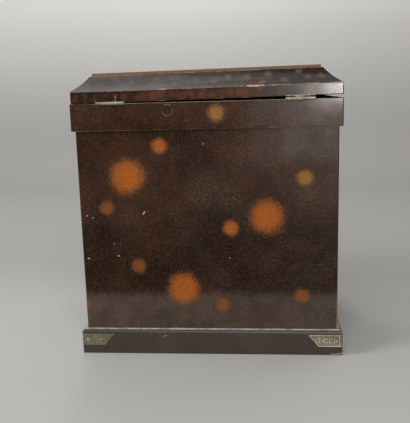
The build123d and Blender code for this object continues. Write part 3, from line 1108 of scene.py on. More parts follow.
# On the lid, heights are above its foot, along its own leaning axes
LID_SPOTS = (
    (-25.0, 22.7, 5.2), (-45.0, 21.9, 5.2), (-67.2, 24.1, 4.6), (-84.0, 18.0, 5.4), (-98.8, 25.3, 4.4),
    (-107.6, 20.0, 4.2), (-121.5, 20.6, 4.6), (-60.8, 16.4, 4.8), (-10.2, 18.6, 4.6), (30.4, 17.6, 4.6),
    (77.8, 20.4, 4.4), (51.6, 22.9, 4.0),
)
LID_NICKS = (
    (143.7, 1.2, 2.5), (143.7, 3.6, 2.3), (143.7, 6.2, 2.2), (143.7, 8.4, 2.4), (143.7, 10.8, 2.6),
    (-45.6, 12.0, 1.0), (-47.4, 12.1, 1.4), (-49.6, 12.0, 1.5), (-51.8, 12.1, 1.2), (-53.6, 12.0, 1.5),
    (-55.6, 12.0, 1.6), (-57.6, 12.1, 1.1), (-60.2, 12.0, 1.2), (-62.4, 12.0, 0.9),
)
# Red patches rubbed along the rim
LID_RUBS = (
    *((-40.0 + 10.5 * i, 4.6 + (i % 3) * 0.8, 8.2 - (i % 4) * 0.7) for i in range(11)),
    (84.0, 5.6, 4.2), (93.0, 6.4, 3.2), (103.0, 7.4, 3.2), (114.0, 5.0, 3.8), (126.0, 7.2, 3.6),
    (137.0, 5.2, 3.6), (-58.0, 10.4, 3.0),
)
# The lid's marks on its other sides: mirrored on the front, and drawn together on the shorter sides
LID_SIGNS = {Turn.REAR: 1.0, Turn.FRONT: -1.0, Turn.LEFT: 0.72, Turn.RIGHT: -0.72}


def on_face(turn: Turn, along: float, height: float, half_width: float, half_depth: float) -> Vector:
    """A point on a face of a box, from a place along the face and a height.

    Args:
        turn: The face.
        along: X on the front and rear, Y on the sides.
        height: Z.
        half_width: Half the box's width.
        half_depth: Half the box's depth.

    Returns:
        The point.
    """
    if turn is Turn.REAR:
        return Vector((along, half_depth, height))
    if turn is Turn.FRONT:
        return Vector((along, -half_depth, height))
    return Vector((half_width if turn is Turn.RIGHT else -half_width, along, height))


def spots_on(turn: Turn, rows: Sequence[Row], shell: Shell, sign: float = 1.0) -> list[Spot]:
    """Spots on one face of a box.

    Args:
        turn: The face.
        rows: Place along the face, height and radius of each, in millimetres.
        shell: The box.
        sign: -1 mirrors the places along the face.

    Returns:
        The spots.
    """
    return [
        Spot(on_face(turn, sign * along * MM, height * MM, shell.half_width, shell.half_depth), radius * MM)
        for along, height, radius in rows
    ]


def lid_places(turn: Turn, rows: Sequence[Row], shell: Shell, sign: float) -> list[Spot]:
    """Spots on the rim or on a slope of the lid, in the lid's own axes.

    Args:
        turn: The side of the lid.
        rows: Place along the face, height above the lid's foot and radius, in millimetres.
        shell: The box of the collar, as wide and deep as the rim.
        sign: The scale along the face; negative mirrors it.

    Returns:
        The spots.
    """
    made = []
    for along, height, radius in rows:
        inset = max(0.0, height * MM - RIM_HEIGHT) * SLOPE_INSET / SLOPE_RISE
        at = on_face(turn, sign * along * MM, height * MM, shell.half_width - inset, shell.half_depth - inset)
        made.append(Spot(at, radius * MM))
    return made


# Sub-assemblies

SIDES = ("front", "right", "back", "left")
# Places of the mounts' nails, as reaches from the plinth's corner
NAIL_REACHES = (6.0 * MM, 21.0 * MM)
# Edges flatter than these angles are shaded smooth, in degrees
SMOOTH_WIRE = 38.0
SMOOTH_PLATE = 42.0
SMOOTH_CAST = 50.0
SMOOTH_FLOOR = 60.0


@dataclass
class Case:
    """Plinth, body and collar."""

    sizes: Sizes
    effects: Effects
    body_marks: Marks
    trim_marks: Marks
    body_finish: LacquerFinish = LacquerFinish()
    # The plinth's ground colours are paler and greyer than the body's: painted reflection, standing in for
    # what its weak, rough coat no longer mirrors
    plinth_finish: LacquerFinish = LacquerFinish(
        dark=(0.046, 0.037, 0.031), warm=(0.057, 0.046, 0.038), fleck=(0.07, 0.054, 0.043), cover=0.14,
        worn=(0.1, 0.08, 0.055), worn_reach=0.3 * MM, dust_amount=1.0, coat_roughness=0.3, coat_ior=1.25,
    )
    collar_finish: LacquerFinish = LacquerFinish(worn_reach=0.55 * MM, cover=0.6)

    def dress(self) -> None:
        """Gives every board, rail and frame its lacquer."""
        body = self.body_finish.dress("body lacquer", self.effects, self.body_marks, self.sizes.body)
        plinth = self.plinth_finish.dress("plinth lacquer", self.effects, self.trim_marks, self.sizes.plinth)
        top = self.sizes.collar.high
        # The collar's top face under the lid gets painted shade
        lined = replace(self.collar_finish, dust_line=self.sizes.collar.low, seam_above=top - SEAM_SKIN)
        collar = lined.dress("collar lacquer", self.effects, self.trim_marks, self.sizes.collar)
        boards = (
            "side_left", "side_right", "back_board", "bottom_board", "lower_shelf", "upper_shelf",
            "compartment_floor",
        )
        for name in (*boards, "top_rail"):
            paint(name, body)
        for side in SIDES:
            paint(f"plinth_{side}", plinth)
            paint(f"collar_{side}", collar)
        log.info("case: %d boards and a rail, 4 plinth rails, 4 collar rails", len(boards))


@dataclass
class Lid:
    """The lid's mouldings and panel, and the bent nail in its rim."""

    sizes: Sizes
    effects: Effects
    marks: Marks
    nail_material: bpy.types.Material
    finish: LacquerFinish = LacquerFinish(
        worn_reach=0.7 * MM, worn=(0.45, 0.27, 0.14), rub=(0.25, 0.068, 0.018), rub_scatter=4.6,
        rub_strength=0.34, cover=0.75, nick=(0.62, 0.38, 0.22), coat_roughness=0.13,
        orange_core=(0.155, 0.108, 0.058), orange_rim=(0.094, 0.066, 0.038), spot_strength=0.66,
    )
    panel_finish: LacquerFinish = LacquerFinish(
        worn=(0.22, 0.12, 0.06), worn_reach=2.2 * MM, worn_spread=1.0, cover=0.6,
    )
    nail_x: float = 93.5 * MM
    nail_foot: float = 281.0 * MM
    nail_head: float = 287.2 * MM
    nail_lean: float = 0.2 * MM
    # The bent part: across and up from the nail's foot, in millimetres
    nail_bend: tuple[tuple[float, float], ...] = ((3.4, 0.0), (1.0, 0.1), (0.2, 0.9), (0.0, 2.2))
    nail_radius: float = 0.45 * MM
    nail_sides: int = 12

    def dress(self) -> None:
        """Gives the lid its lacquer and builds the nail."""
        sizes = self.sizes
        rim = Shell(sizes.collar.half_width, sizes.collar.half_depth, 0.0, RIM_HEIGHT)
        # The lid's underside gets painted shade where it meets the collar
        lined = replace(self.finish, dust_line=RIM_HEIGHT + SLOPE_RISE, seam_below=SEAM_SKIN)
        moulding = lined.dress("lid lacquer", self.effects, self.marks, rim, sizes.lean, sizes.lid_foot)
        for side in SIDES:
            paint(f"lid_moulding_{side}", moulding)
        low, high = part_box("lid_panel")
        top = high.z - sizes.lid_foot - math.sin(sizes.lean) * high.x
        shell = Shell(high.x, high.y, top - PANEL_PROUD, top)
        panel = self.panel_finish.dress(
            "lid panel lacquer", self.effects, self.marks, shell, sizes.lean, sizes.lid_foot,
        )
        paint("lid_panel", panel)
        self.nail()
        log.info("lid: 4 mouldings, bent nail, panel %.1f mm wide", (high.x - low.x) / MM)

    def nail(self) -> None:
        """Builds the nail, driven into the rim and bent over at its foot."""
        face = self.sizes.collar.half_depth + self.nail_radius
        path = [
            Vector((self.nail_x + across * MM, face, self.nail_foot + up * MM))
            for across, up in self.nail_bend
        ]
        path.append(Vector((self.nail_x - self.nail_lean, face, self.nail_head)))
        wire = swept_wire(path, [self.nail_radius] * len(path), self.nail_sides)
        nail = finish_mesh(wire, "bent_nail", self.nail_material, SMOOTH_WIRE)
        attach(nail, "lid")


def paint(node: str, material: bpy.types.Material) -> None:
    """Gives a carried-over piece its finish.

    Args:
        node: The piece's name in the frame.
        material: The finish.
    """
    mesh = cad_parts[node].data
    mesh.materials.clear()
    mesh.materials.append(material)


@dataclass
class CornerMount:
    """A sheet mount folded round one corner of the plinth, with a raised border on a punched ground."""

    name: str
    side_x: int
    side_y: int
    plinth: Shell
    material: bpy.types.Material
    sheet: float = 0.7 * MM
    bottom: float = 10.2 * MM
    height: float = 13.2 * MM
    top_reach: float = 36.8 * MM
    step_reach: float = 31.6 * MM
    step_height: float = 7.4 * MM
    step: float = 1.2 * MM
    foot_reach: float = 25.8 * MM
    corner: float = 1.2 * MM
    border: float = 1.1 * MM
    sunk: float = 0.25 * MM
    rib_reach: float = 3.0 * MM
    rib_width: float = 0.8 * MM
    pitch: float = 2.7 * MM
    stroke_height: float = 6.0 * MM
    stud: float = 0.75 * MM
    nail_clearance: float = 1.5 * MM
    bend_cuts: int = 7
    edge_round: float = 0.12 * MM

    def flat(self, reach: float) -> float:
        """The place in the flat sheet of a point at some reach from the sharp corner."""
        return reach - self.corner + self.corner * math.pi / 4

    def fold(self, bm: bmesh.types.BMesh) -> None:
        """Folds the flat sheet round the corner and sets it on the plinth.

        Args:
            bm: The sheet, with its middle at X 0, its foot at Y 0 and its back at Z 0.
        """
        half_arc = self.corner * math.pi / 4
        centre_x = self.plinth.half_width - self.corner
        centre_y = self.plinth.half_depth - self.corner
        for vert in bm.verts:
            along, up, out = vert.co
            angle = math.pi / 4 + max(-half_arc, min(half_arc, along)) / self.corner
            beyond = max(0.0, abs(along) - half_arc)
            x = centre_x + (self.corner + out) * math.cos(angle) - (beyond if along > 0 else 0.0)
            y = centre_y + (self.corner + out) * math.sin(angle) - (beyond if along < 0 else 0.0)
            vert.co = (self.side_x * x, self.side_y * y, self.bottom + up)

    def build(self) -> bpy.types.Object:
        """Builds the mount.

        Returns:
            The object.
        """
        bm = bmesh.new()
        end = [
            (self.flat(self.foot_reach), 0.0),
            (self.flat(self.step_reach - self.step), self.step_height - self.step),
            (self.flat(self.step_reach), self.step_height),
            (self.flat(self.top_reach), self.height),
        ]
        raised_sheet(bm, end + [(-x, y) for x, y in reversed(end)], self.sheet, self.border, -self.sunk)
        half_arc = self.corner * math.pi / 4
        for i in range(self.bend_cuts + 1):
            cut = -half_arc + 2 * half_arc * i / self.bend_cuts
            everything = [*bm.verts, *bm.edges, *bm.faces]
            bmesh.ops.bisect_plane(bm, geom=everything, plane_co=(cut, 0.0, 0.0), plane_no=(1.0, 0.0, 0.0))
        self.add_relief(bm)
        self.fold(bm)
        made = finish_mesh(bm, self.name, self.material, SMOOTH_CAST)
        bevel = made.modifiers.new("worn edges", "BEVEL")
        bevel.width = self.edge_round
        bevel.segments = 2
        bevel.limit_method = "ANGLE"
        bevel.angle_limit = math.radians(SMOOTH_CAST)
        return made

    def stand(self, bm: bmesh.types.BMesh, reach: float, up: float, width: float, height: float) -> None:
        """Adds one flat-topped stroke to both wings of the ground.

        Args:
            bm: The flat sheet.
            reach: Its middle's reach from the corner.
            up: Its middle's height.
            width: Its width.
            height: Its height.
        """
        for side in (-1, 1):
            stroke = bmesh.ops.create_cube(bm, size=1.0)["verts"]
            place = Vector((side * self.flat(reach), up, self.sheet - self.sunk))
            size = Vector((width, height, 2 * self.sunk))
            bmesh.ops.transform(bm, matrix=Matrix.LocRotScale(place, None, size), verts=stroke)

    def add_relief(self, bm: bmesh.types.BMesh) -> None:
        """Adds the ribs beside the fold, then strokes and pairs of studs by turns.

        Args:
            bm: The flat sheet.
        """
        middle = self.height / 2
        self.stand(bm, self.rib_reach, middle, self.rib_width, self.height - 2 * self.border)
        reach = self.rib_reach + self.pitch
        for column in range(int((self.top_reach - reach) / self.pitch)):
            if min(abs(reach - nail) for nail in NAIL_REACHES) > self.nail_clearance:
                if column % 2 == 0:
                    self.studs(bm, reach, middle - self.stroke_height / 3)
                    self.studs(bm, reach, middle + self.stroke_height / 3)
                elif reach < self.foot_reach - self.border:
                    self.stand(bm, reach, middle, self.rib_width, self.stroke_height)
            reach += self.pitch

    def studs(self, bm: bmesh.types.BMesh, reach: float, up: float) -> None:
        """Adds a domed stud to both wings, unless the slanted end of the wing is too near.

        Args:
            bm: The flat sheet.
            reach: Its middle's reach from the corner.
            up: Its middle's height.
        """
        wing_end = self.foot_reach + (self.top_reach - self.foot_reach) * up / self.height
        if reach >= wing_end - 2 * self.border:
            return
        dome = Matrix.Diagonal((self.stud, self.stud, self.sunk, 1.0))
        for side in (-1, 1):
            stud = bmesh.ops.create_icosphere(bm, subdivisions=2, radius=1.0)["verts"]
            place = Matrix.Translation((side * self.flat(reach), up, self.sheet - self.sunk))
            bmesh.ops.transform(bm, matrix=place @ dome, verts=stud)


@dataclass
class Metalwork:
    """Corner mounts, their nails and the hinges."""

    sizes: Sizes
    mount_material: bpy.types.Material
    dull_material: bpy.types.Material
    hinge_material: bpy.types.Material
    nail_radius: float = 0.95 * MM
    nail_rise: float = 0.5 * MM

    def dress(self) -> None:
        """Builds the mounts and nails, and gives the hinges their finish."""
        for depth, side_y in (("front", -1), ("back", 1)):
            for width, side_x in (("left", -1), ("right", 1)):
                name = f"{depth}_{width}_mount"
                metal = self.dull_material if (side_x, side_y) == (1, 1) else self.mount_material
                mount = CornerMount(name, side_x, side_y, self.sizes.plinth, metal).build()
                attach(mount, "case")
                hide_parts(f"corner_mount_{depth}_{width}")
        self.nails()
        for side in ("left", "right"):
            for name in (f"hinge_leaf_case_{side}", f"hinge_leaf_lid_{side}", f"hinge_pin_{side}"):
                paint(name, self.hinge_material)
        for name in ("hinge_nails_case", "hinge_nails_lid"):
            paint(name, self.hinge_material)
        log.info("metalwork: 4 mounts, 16 nails, 2 hinges")

    def nails(self) -> None:
        """Builds the domed heads of the mounts' nails."""
        bm = bmesh.new()
        plinth = self.sizes.plinth
        low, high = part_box("corner_mount_back_right")
        level = (low.z + high.z) / 2
        sheet = high.x - plinth.half_width
        x, y = plinth.half_width, plinth.half_depth
        size = Vector((self.nail_radius, self.nail_radius, self.nail_rise))
        for side_x, side_y, reach in product((-1, 1), (-1, 1), NAIL_REACHES):
            for place, out in (
                ((side_x * (x - reach), side_y * (y + sheet), level), Vector((0.0, side_y, 0.0))),
                ((side_x * (x + sheet), side_y * (y - reach), level), Vector((side_x, 0.0, 0.0))),
            ):
                head = bmesh.ops.create_uvsphere(bm, u_segments=16, v_segments=8, radius=1.0)["verts"]
                stand = Matrix.LocRotScale(Vector(place), out.to_track_quat("Z", "Y"), size)
                bmesh.ops.transform(bm, matrix=stand, verts=head)
        heads = finish_mesh(bm, "mount_nail_heads", self.mount_material, SMOOTH_WIRE)
        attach(heads, "case")
        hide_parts("mount_nails")


def rounded_path(corners: Sequence[Vector], radii: Sequence[float], steps: int = 8) -> list[Vector]:
    """A path with its inner corners rounded.

    Args:
        corners: The corners, ends included.
        radii: The radius of each inner corner.
        steps: Points in each arc.

    Returns:
        The points of the path.
    """
    path = [corners[0]]
    for before, corner, after, radius in zip(corners, corners[1:], corners[2:], radii):
        back, on = (before - corner).normalized(), (after - corner).normalized()
        half = back.angle(on) / 2
        centre = corner + (back + on).normalized() * radius / math.sin(half)
        start = corner + back * radius / math.tan(half)
        finish = corner + on * radius / math.tan(half)
        turn = (start - centre).rotation_difference(finish - centre)
        axis, angle = turn.to_axis_angle()
        arc = [Matrix.Rotation(angle * i / steps, 3, axis) @ (start - centre) for i in range(steps + 1)]
        path += [centre + arm for arm in arc]
    return path + [corners[-1]]


@dataclass
class Pull:
    """A petal plate with two eyes, and the bail that hangs in them."""

    drawer: str
    material: bpy.types.Material
    middle: Vector = field(init=False)
    petals: int = 16
    petal_root: float = 4.0 * MM
    petal_tip: float = 13.8 * MM
    petal_half_width: float = 2.1 * MM
    petal_border: float = 0.45 * MM
    sheet: float = 0.5 * MM
    pillow: float = 0.4 * MM
    backing_sheet: float = 0.4 * MM
    backing_inset: float = 2.4 * MM
    boss: float = 3.5 * MM
    boss_rise: float = 1.5 * MM
    bead: float = 0.55 * MM
    bead_gap: float = 1.1 * MM
    eye_place: float = 9.25 * MM
    eye_width: float = 2.5 * MM
    eye_radius: float = 2.2 * MM
    eye_bore: float = 1.07 * MM
    stem_width: float = 2.0 * MM
    stem_height: float = 3.3 * MM
    stem_gap: float = 0.15 * MM
    pivot_out: float = 3.4 * MM
    bail_half_width: float = 13.0 * MM
    bail_drop: float = 15.0 * MM
    bail_end: float = 6.6 * MM
    bail_radius: float = 1.0 * MM
    bail_swell: float = 0.4 * MM
    bail_ball: float = 1.35 * MM
    upper_bend: float = 2.2 * MM
    lower_bend: float = 9.0 * MM

    def __post_init__(self) -> None:
        """Reads the place of the plate's middle and of the drawer's face."""
        low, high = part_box(f"{self.drawer}_pull_plate")
        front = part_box(f"{self.drawer}_drawer_front")[0]
        self.middle = Vector((0.0, front.y, (low.z + high.z) / 2))

    def upright(self, bm: bmesh.types.BMesh) -> None:
        """Stands a piece made flat, facing +Z, on the drawer's face.

        Args:
            bm: The piece.
        """
        stand = Matrix.Translation(self.middle) @ Matrix.Rotation(math.pi / 2, 4, "X")
        bmesh.ops.transform(bm, matrix=stand, verts=bm.verts)

    def petal(self, bm: bmesh.types.BMesh) -> None:
        """One pillowed petal, then the rest of the flower.

        Args:
            bm: Where they go.
        """
        # Share of the length from the root, and share of the half width there
        side = ((0.0, 0.25), (0.5, 0.72), (0.76, 1.0), (0.92, 0.72), (1.0, 0.22))
        length = self.petal_tip - self.petal_root
        edge = [(self.petal_root + t * length, self.petal_half_width * w) for t, w in side]
        outline = edge + [(x, -y) for x, y in reversed(edge)]
        raised_sheet(bm, outline, self.sheet, self.petal_border, self.pillow)
        first = [*bm.verts, *bm.edges, *bm.faces]
        bmesh.ops.spin(
            bm, geom=first, cent=(0.0, 0.0, 0.0), axis=(0.0, 0.0, 1.0), dvec=(0.0, 0.0, 0.0),
            angle=math.tau * (self.petals - 1) / self.petals, steps=self.petals - 1, use_duplicate=True,
        )

    def eye(self, bm: bmesh.types.BMesh, side: int) -> None:
        """One eye on its stem.

        Args:
            bm: Where it goes.
            side: -1 for the left, 1 for the right.
        """
        middle = side * self.eye_place
        half = self.eye_width / 2
        bore, outer = self.pivot_out + self.eye_bore, self.pivot_out + self.eye_radius
        corners = ((-half, bore), (-half, outer), (half, outer), (half, bore))
        section = [bm.verts.new((middle + x, 0.0, z)) for x, z in corners]
        ring = [bm.edges.new(pair) for pair in zip(section, section[1:] + section[:1])]
        bmesh.ops.spin(
            bm, geom=[*section, *ring], cent=(middle, 0.0, self.pivot_out), axis=(1.0, 0.0, 0.0),
            dvec=(0.0, 0.0, 0.0), angle=math.tau, steps=24, use_merge=True, use_duplicate=False,
        )
        stem = bmesh.ops.create_cube(bm, size=1.0)["verts"]
        stem_top = self.pivot_out - self.eye_bore - self.stem_gap
        place = Vector((middle, 0.0, stem_top / 2))
        size = Vector((self.stem_width, self.stem_height, stem_top))
        bmesh.ops.transform(bm, matrix=Matrix.LocRotScale(place, None, size), verts=stem)

    def plate(self) -> bpy.types.Object:
        """Builds the plate.

        Returns:
            The object.
        """
        bm = bmesh.new()
        self.petal(bm)
        backing = self.petal_tip - self.backing_inset
        disc = bmesh.ops.create_circle(bm, cap_ends=True, segments=48, radius=backing)["verts"]
        raise_face(bm, list(disc[0].link_faces), self.backing_sheet)
        boss = bmesh.ops.create_uvsphere(bm, u_segments=24, v_segments=12, radius=1.0)["verts"]
        foot = Vector((0.0, 0.0, self.sheet / 2))
        swell = Vector((self.boss, self.boss, self.boss_rise))
        bmesh.ops.transform(bm, matrix=Matrix.LocRotScale(foot, None, swell), verts=boss)
        for i in range(self.petals):
            bead = bmesh.ops.create_icosphere(bm, subdivisions=2, radius=self.bead)["verts"]
            turn = math.tau * (i + 0.5) / self.petals
            out = Vector((math.cos(turn), math.sin(turn), 0.0)) * (self.boss + self.bead_gap)
            bmesh.ops.translate(bm, vec=(out.x, out.y, self.sheet), verts=bead)
        for side in (-1, 1):
            self.eye(bm, side)
        self.upright(bm)
        return finish_mesh(bm, f"{self.drawer}_plate", self.material, SMOOTH_PLATE)

    def bail(self) -> bpy.types.Object:
        """Builds the bail, thicker in the middle of its drop.

        Returns:
            The object.
        """
        left = ((-self.bail_end, 0.0), (-self.bail_half_width, 0.0), (-self.bail_half_width, -self.bail_drop))
        places = (*left, *((-x, y) for x, y in reversed(left)))
        corners = [Vector((x, y, self.pivot_out)) for x, y in places]
        path = rounded_path(corners, [self.upper_bend, self.lower_bend, self.lower_bend, self.upper_bend])
        radii = [self.bail_radius + self.bail_swell * max(0.0, -p.y / self.bail_drop) ** 2 for p in path]
        bm = swept_wire(path, radii)
        for side in (-1, 1):
            ball = bmesh.ops.create_uvsphere(bm, u_segments=20, v_segments=10, radius=self.bail_ball)["verts"]
            bmesh.ops.translate(bm, vec=(side * self.bail_end, 0.0, self.pivot_out), verts=ball)
        self.upright(bm)
        return finish_mesh(bm, f"{self.drawer}_drop_handle", self.material, SMOOTH_CAST)

    def build(self) -> None:
        """Builds both pieces and hangs them on their bodies."""
        plate = self.plate()
        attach(plate, f"{self.drawer}_drawer")
        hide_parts(f"{self.drawer}_pull_plate")
        handle = self.bail()
        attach(handle, f"{self.drawer}_bail")
        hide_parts(f"{self.drawer}_bail")


@dataclass
class Drawer:
    """One drawer with its pull."""

    name: str
    effects: Effects
    marks: Marks
    lining: bpy.types.Material
    pull_material: bpy.types.Material
    finish: LacquerFinish = LacquerFinish()

    def dress(self) -> None:
        """Gives the drawer its lacquer, lining and metal."""
        low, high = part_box(f"{self.name}_drawer_front")
        shell = Shell(high.x, -low.y, low.z, high.z)
        lacquer = self.finish.dress(f"{self.name} drawer lacquer", self.effects, self.marks, shell)
        paint(f"{self.name}_drawer_front", lacquer)
        for part in ("side_left", "side_right", "back", "bottom"):
            paint(f"{self.name}_drawer_{part}", self.lining)
        Pull(self.name, self.pull_material).build()
        log.info("%s drawer: front, box, pull", self.name)


# Camera, light and floor


@dataclass(frozen=True)
class Camera:
    """The photograph's viewpoint, behind the cabinet and a little to its left."""

    at: tuple[float, float, float] = (-0.0616, 0.7815, 0.2930)
    turn: tuple[float, float, float] = (79.10, 1.59, -174.92)
    lens: float = 54.67
    sensor_width: float = 36.0
    nearest: float = 0.01
    farthest: float = 20.0

    def place(self) -> None:
        """Makes the camera and uses it."""
        data = bpy.data.cameras.new("camera")
        data.lens = self.lens
        data.sensor_width = self.sensor_width
        data.clip_start, data.clip_end = self.nearest, self.farthest
        made = bpy.data.objects.new("camera", data)
        made.location = self.at
        made.rotation_euler = [math.radians(a) for a in self.turn]
        bpy.context.scene.collection.objects.link(made)
        bpy.context.scene.camera = made


@dataclass(frozen=True)
class Lamp:
    """A soft box: where it stands, where it points, its size and its power."""

    name: str
    at: tuple[float, float, float]
    aim: tuple[float, float, float]
    size: tuple[float, float]
    power: float
    tint: Colour = (1.0, 1.0, 1.0)

    def place(self) -> None:
        """Makes the lamp."""
        data = bpy.data.lights.new(self.name, "AREA")
        data.shape = "RECTANGLE"
        data.size, data.size_y = self.size
        data.energy = self.power
        data.color = self.tint
        made = bpy.data.objects.new(self.name, data)
        made.location = self.at
        made.rotation_mode = "QUATERNION"
        made.rotation_quaternion = (Vector(self.aim) - Vector(self.at)).to_track_quat("-Z", "Y")
        bpy.context.scene.collection.objects.link(made)


# Tints of the lamps, from daylight to a warm wall
SUNNY, PALE, CREAM, STRAW, TAN = (
    (1.0, 0.99, 0.97), (1.0, 0.97, 0.93), (1.0, 0.96, 0.91), (1.0, 0.94, 0.88), (1.0, 0.92, 0.84),
)
LAMPS = (
    Lamp("window from the left", (1.9, 0.8, 1.3), (0.0, 0.0, 0.1), (1.0, 1.0), 29.0, SUNNY),
    Lamp("window behind the viewer", (-0.1, 2.1, 1.85), (0.0, 0.1, 0.1), (1.8, 1.0), 31.0),
    Lamp("broad glow above", (0.42, -0.12, 1.6), (0.2, 0.05, 0.3), (1.3, 1.1), 1.2),
    Lamp("soft glow above", (0.5, -0.12, 1.58), (0.3, 0.05, 0.3), (0.84, 0.8), 0.85),
    Lamp("pale wall at the right", (-0.4, 1.76, 0.31), (-0.3, 0.1, 0.25), (0.78, 0.62), 0.3, TAN),
    Lamp("paler wall at the right", (-0.42, 1.75, 0.32), (-0.3, 0.1, 0.25), (0.6, 0.58), 0.27, TAN),
    Lamp("doorway at the right", (-0.5, 1.74, 0.36), (-0.4, 0.1, 0.3), (0.54, 0.32), 0.42, STRAW),
    Lamp("wide pane at the right", (-0.45, 1.72, 0.37), (-0.4, 0.1, 0.3), (0.42, 0.26), 1.3, CREAM),
    Lamp("bright pane at the right", (-0.52, 1.71, 0.38), (-0.4, 0.1, 0.3), (0.38, 0.28), 2.6, PALE),
    Lamp("fill at the front", (-1.0, -0.9, 1.7), (0.0, 0.0, 0.15), (1.4, 1.2), 6.5),
    Lamp("wash on the wall", (1.8, -0.3, 1.3), (1.5, -1.6, 0.5), (0.8, 0.8), 8.0),
    Lamp("wash on the floor", (0.3, -1.0, 1.3), (-0.6, -0.6, 0.0), (0.5, 0.5), 5.0),
)


@dataclass(frozen=True)
class Surroundings:
    """Pale floor that sweeps up to a wall, with painted light and shade, and the room that the lacquer
    mirrors, partly painted into the floor as a reflection.
    """

    near: Colour = (0.492, 0.485, 0.469)
    # Painted reflection: the near paper as glossy rays see it, warmer
    near_mirrored: Colour = (0.485, 0.400, 0.315)
    # Painted shade: the floor dims to this colour towards the bend
    middle: Colour = (0.365, 0.358, 0.345)
    # Painted light: the wall pales to this colour upwards
    wall: Colour = (0.79, 0.78, 0.76)
    # Painted reflection: the dark room that glossy rays see beyond the paper, paler far away; the paper's
    # fibres also take this tone
    room: Colour = (0.012, 0.0105, 0.01)
    room_far: Colour = (0.06, 0.054, 0.05)
    reach: float = 6.0
    bend_at: float = -1.1
    bend_radius: float = 0.5
    wall_top: float = 3.0
    wall_light_step: Step = Step(0.12, 0.75)
    floor_shade_step: Step = Step(0.14, -0.3)
    paper_ends: Step = Step(0.29, 0.33)
    room_pales: Step = Step(0.55, 1.1)
    fibres: Patches = Patches(Noise(700.0, 3.0, 0.7), Step(0.3, 0.7, 0.0, 0.06))
    roughness: float = 0.8
    specular: float = 0.15
    room_light: Colour = (1.0, 0.99, 0.97)
    room_strength: float = 0.15
    mirrored_strength: float = 0.07

    def build(self) -> None:
        """Makes the floor and sets the world."""
        bm = bmesh.new()
        left, right, near, far = -self.reach, self.reach, self.reach, self.bend_at
        floor = outline_face(bm, ((left, near), (right, near), (right, far), (left, far)))
        back = min(floor.edges, key=lambda e: e.verts[0].co.y + e.verts[1].co.y)
        bend = bmesh.ops.spin(
            bm, geom=[back, *back.verts], cent=(0.0, self.bend_at, self.bend_radius), axis=(1.0, 0.0, 0.0),
            dvec=(0.0, 0.0, 0.0), angle=-math.pi / 2, steps=16, use_duplicate=False,
        )
        top = next(g for g in bend["geom_last"] if isinstance(g, bmesh.types.BMEdge))
        grown = bmesh.ops.extrude_edge_only(bm, edges=[top])["geom"]
        raised = [g for g in grown if isinstance(g, bmesh.types.BMVert)]
        bmesh.ops.translate(bm, vec=(0.0, 0.0, self.wall_top), verts=raised)
        made = finish_mesh(bm, "floor", self.floor_material(), SMOOTH_FLOOR)
        self.world()

    def floor_material(self) -> bpy.types.Material:
        """Pale paper, with painted shade towards the bend and painted light up the wall; mirrored, it shows
        painted reflections: warmer paper and a dark room beyond.

        Returns:
            The material.
        """
        material, sheet = start_material("paper floor")
        place = sheet.parts(sheet.at)
        # Painted shade towards the bend, and painted light up the wall
        colour = sheet.blend(sheet.ramp(place["Y"], self.floor_shade_step), self.near, self.middle)
        colour = sheet.blend(sheet.ramp(place["Z"], self.wall_light_step), colour, self.wall)
        colour = sheet.blend(sheet.patches(self.fibres), colour, self.room)
        # Painted reflection: glossy rays see warmer paper, and a dark room beyond the paper's ends
        glossy = sheet.node("ShaderNodeLightPath").outputs["Is Glossy Ray"]
        colour = sheet.blend(glossy, colour, self.near_mirrored)
        away = sheet.maths("ABSOLUTE", place["Y"])
        mirrored = sheet.product(sheet.ramp(away, self.paper_ends), glossy)
        mirrored_room = sheet.blend(sheet.ramp(away, self.room_pales), self.room, self.room_far)
        colour = sheet.blend(mirrored, colour, mirrored_room)
        sheet.surface(Base_Color=colour, Roughness=self.roughness, Specular_IOR_Level=self.specular)
        return material

    def world(self) -> None:
        """An even pale room, a little dimmer where the lacquer mirrors it."""
        world = bpy.data.worlds.new("room")
        world.use_nodes = True
        world.node_tree.nodes.clear()
        sheet = Sheet(world.node_tree)
        rays = sheet.node("ShaderNodeLightPath").outputs
        mirrored = sheet.maths("MAXIMUM", rays["Is Glossy Ray"], rays["Is Transmission Ray"])
        strength = sheet.ramp(mirrored, Step(0.0, 1.0, self.room_strength, self.mirrored_strength))
        background = sheet.fill(
            sheet.node("ShaderNodeBackground"), Color=(*self.room_light, 1.0), Strength=strength,
        )
        sheet.feed(sheet.node("ShaderNodeOutputWorld").inputs["Surface"], background.outputs[0])
        bpy.context.scene.world = world


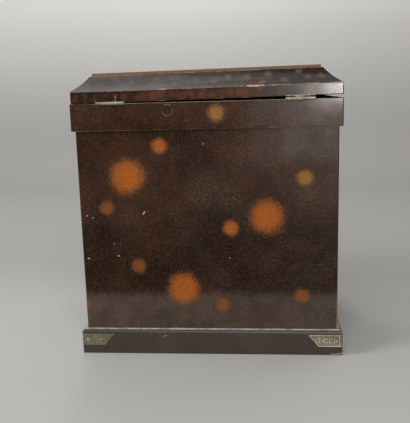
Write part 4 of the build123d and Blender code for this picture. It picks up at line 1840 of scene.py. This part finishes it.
def make_marks(sizes: Sizes) -> tuple[Marks, Marks, Marks]:
    """Places every spot, nick and rub.

    Args:
        sizes: The shared places.

    Returns:
        The marks of the body, of the plinth and collar, and of the lid.
    """
    body, collar, plinth = sizes.body, sizes.collar, sizes.plinth
    orange, golden = [], []
    for turn, rows, gold_rows, sign in (
        (Turn.REAR, REAR_ORANGE, REAR_GOLDEN, 1.0), (Turn.FRONT, FRONT_ORANGE, FRONT_GOLDEN, 1.0),
        (Turn.LEFT, SIDE_ORANGE, SIDE_GOLDEN, 1.0), (Turn.RIGHT, SIDE_ORANGE, SIDE_GOLDEN, -1.0),
    ):
        orange += spots_on(turn, rows, body, sign)
        golden += spots_on(turn, gold_rows, body, sign)
    nicks, rubs = spots_on(Turn.REAR, REAR_NICKS, body), spots_on(Turn.REAR, REAR_RUBS, body)
    faint = spots_on(Turn.REAR, REAR_FAINT, body)
    sprinkles = spots_on(Turn.REAR, REAR_SPRINKLES, body) + spots_on(Turn.FRONT, FRONT_SPRINKLES, body)
    body_marks = Marks(
        "body", orange=orange, faint=faint, golden=golden, sprinkles=sprinkles, nicks=nicks, rubs=rubs,
    )

    on_collar = [spot for turn, rows in COLLAR_GOLDEN.items() for spot in spots_on(turn, rows, collar)]
    chips = spots_on(Turn.REAR, PLINTH_NICKS, plinth)
    trim_marks = Marks("trim", golden=on_collar, nicks=chips, rings=spots_on(Turn.REAR, (RING_MARK,), collar))

    lid_spots, lid_rubs = [], []
    for turn, sign in LID_SIGNS.items():
        lid_spots += lid_places(turn, LID_SPOTS, collar, sign)
        lid_rubs += lid_places(turn, LID_RUBS, collar, sign)
    lid_nicks = lid_places(Turn.REAR, LID_NICKS, collar, 1.0)
    return body_marks, trim_marks, Marks("lid", orange=lid_spots, rubs=lid_rubs, nicks=lid_nicks)


def main() -> None:
    """Builds the scene in order."""
    logging.basicConfig(level=logging.INFO, format="%(name)s: %(message)s")
    sizes = Sizes()
    effects = Effects()
    body_marks, trim_marks, lid_marks = make_marks(sizes)

    mount_face = CornerMount.sheet - CornerMount.sunk
    plinth = sizes.plinth
    ground = Shell(plinth.half_width + mount_face, plinth.half_depth + mount_face, plinth.low, plinth.high)
    mount_metal = replace(MOUNT_FINISH, ground=ground).dress("mount metal", effects)
    dull_metal = replace(DULL_MOUNT_FINISH, ground=ground).dress("dull mount metal", effects)
    hinge_metal = HINGE_FINISH.dress("hinge metal", effects)
    pull_metal = PULL_FINISH.dress("pull metal", effects)
    # Twice as tall as the cabinet, so that no level edge of it crosses the linings
    inside = Shell(sizes.half_width, sizes.half_depth, -sizes.body.high, 2 * sizes.body.high)
    lining = LINING_FINISH.dress("lining lacquer", effects, Marks("lining"), inside)

    Camera().place()
    Case(sizes, effects, body_marks, trim_marks).dress()
    Lid(sizes, effects, lid_marks, hinge_metal).dress()
    Metalwork(sizes, mount_metal, dull_metal, hinge_metal).dress()
    for name in ("lower", "middle", "upper"):
        Drawer(name, effects, body_marks, lining, pull_metal).dress()
    for lamp in LAMPS:
        lamp.place()
    Surroundings().build()
    bpy.context.scene.view_settings.view_transform = "Standard"


if __name__ == "__main__":
    main()
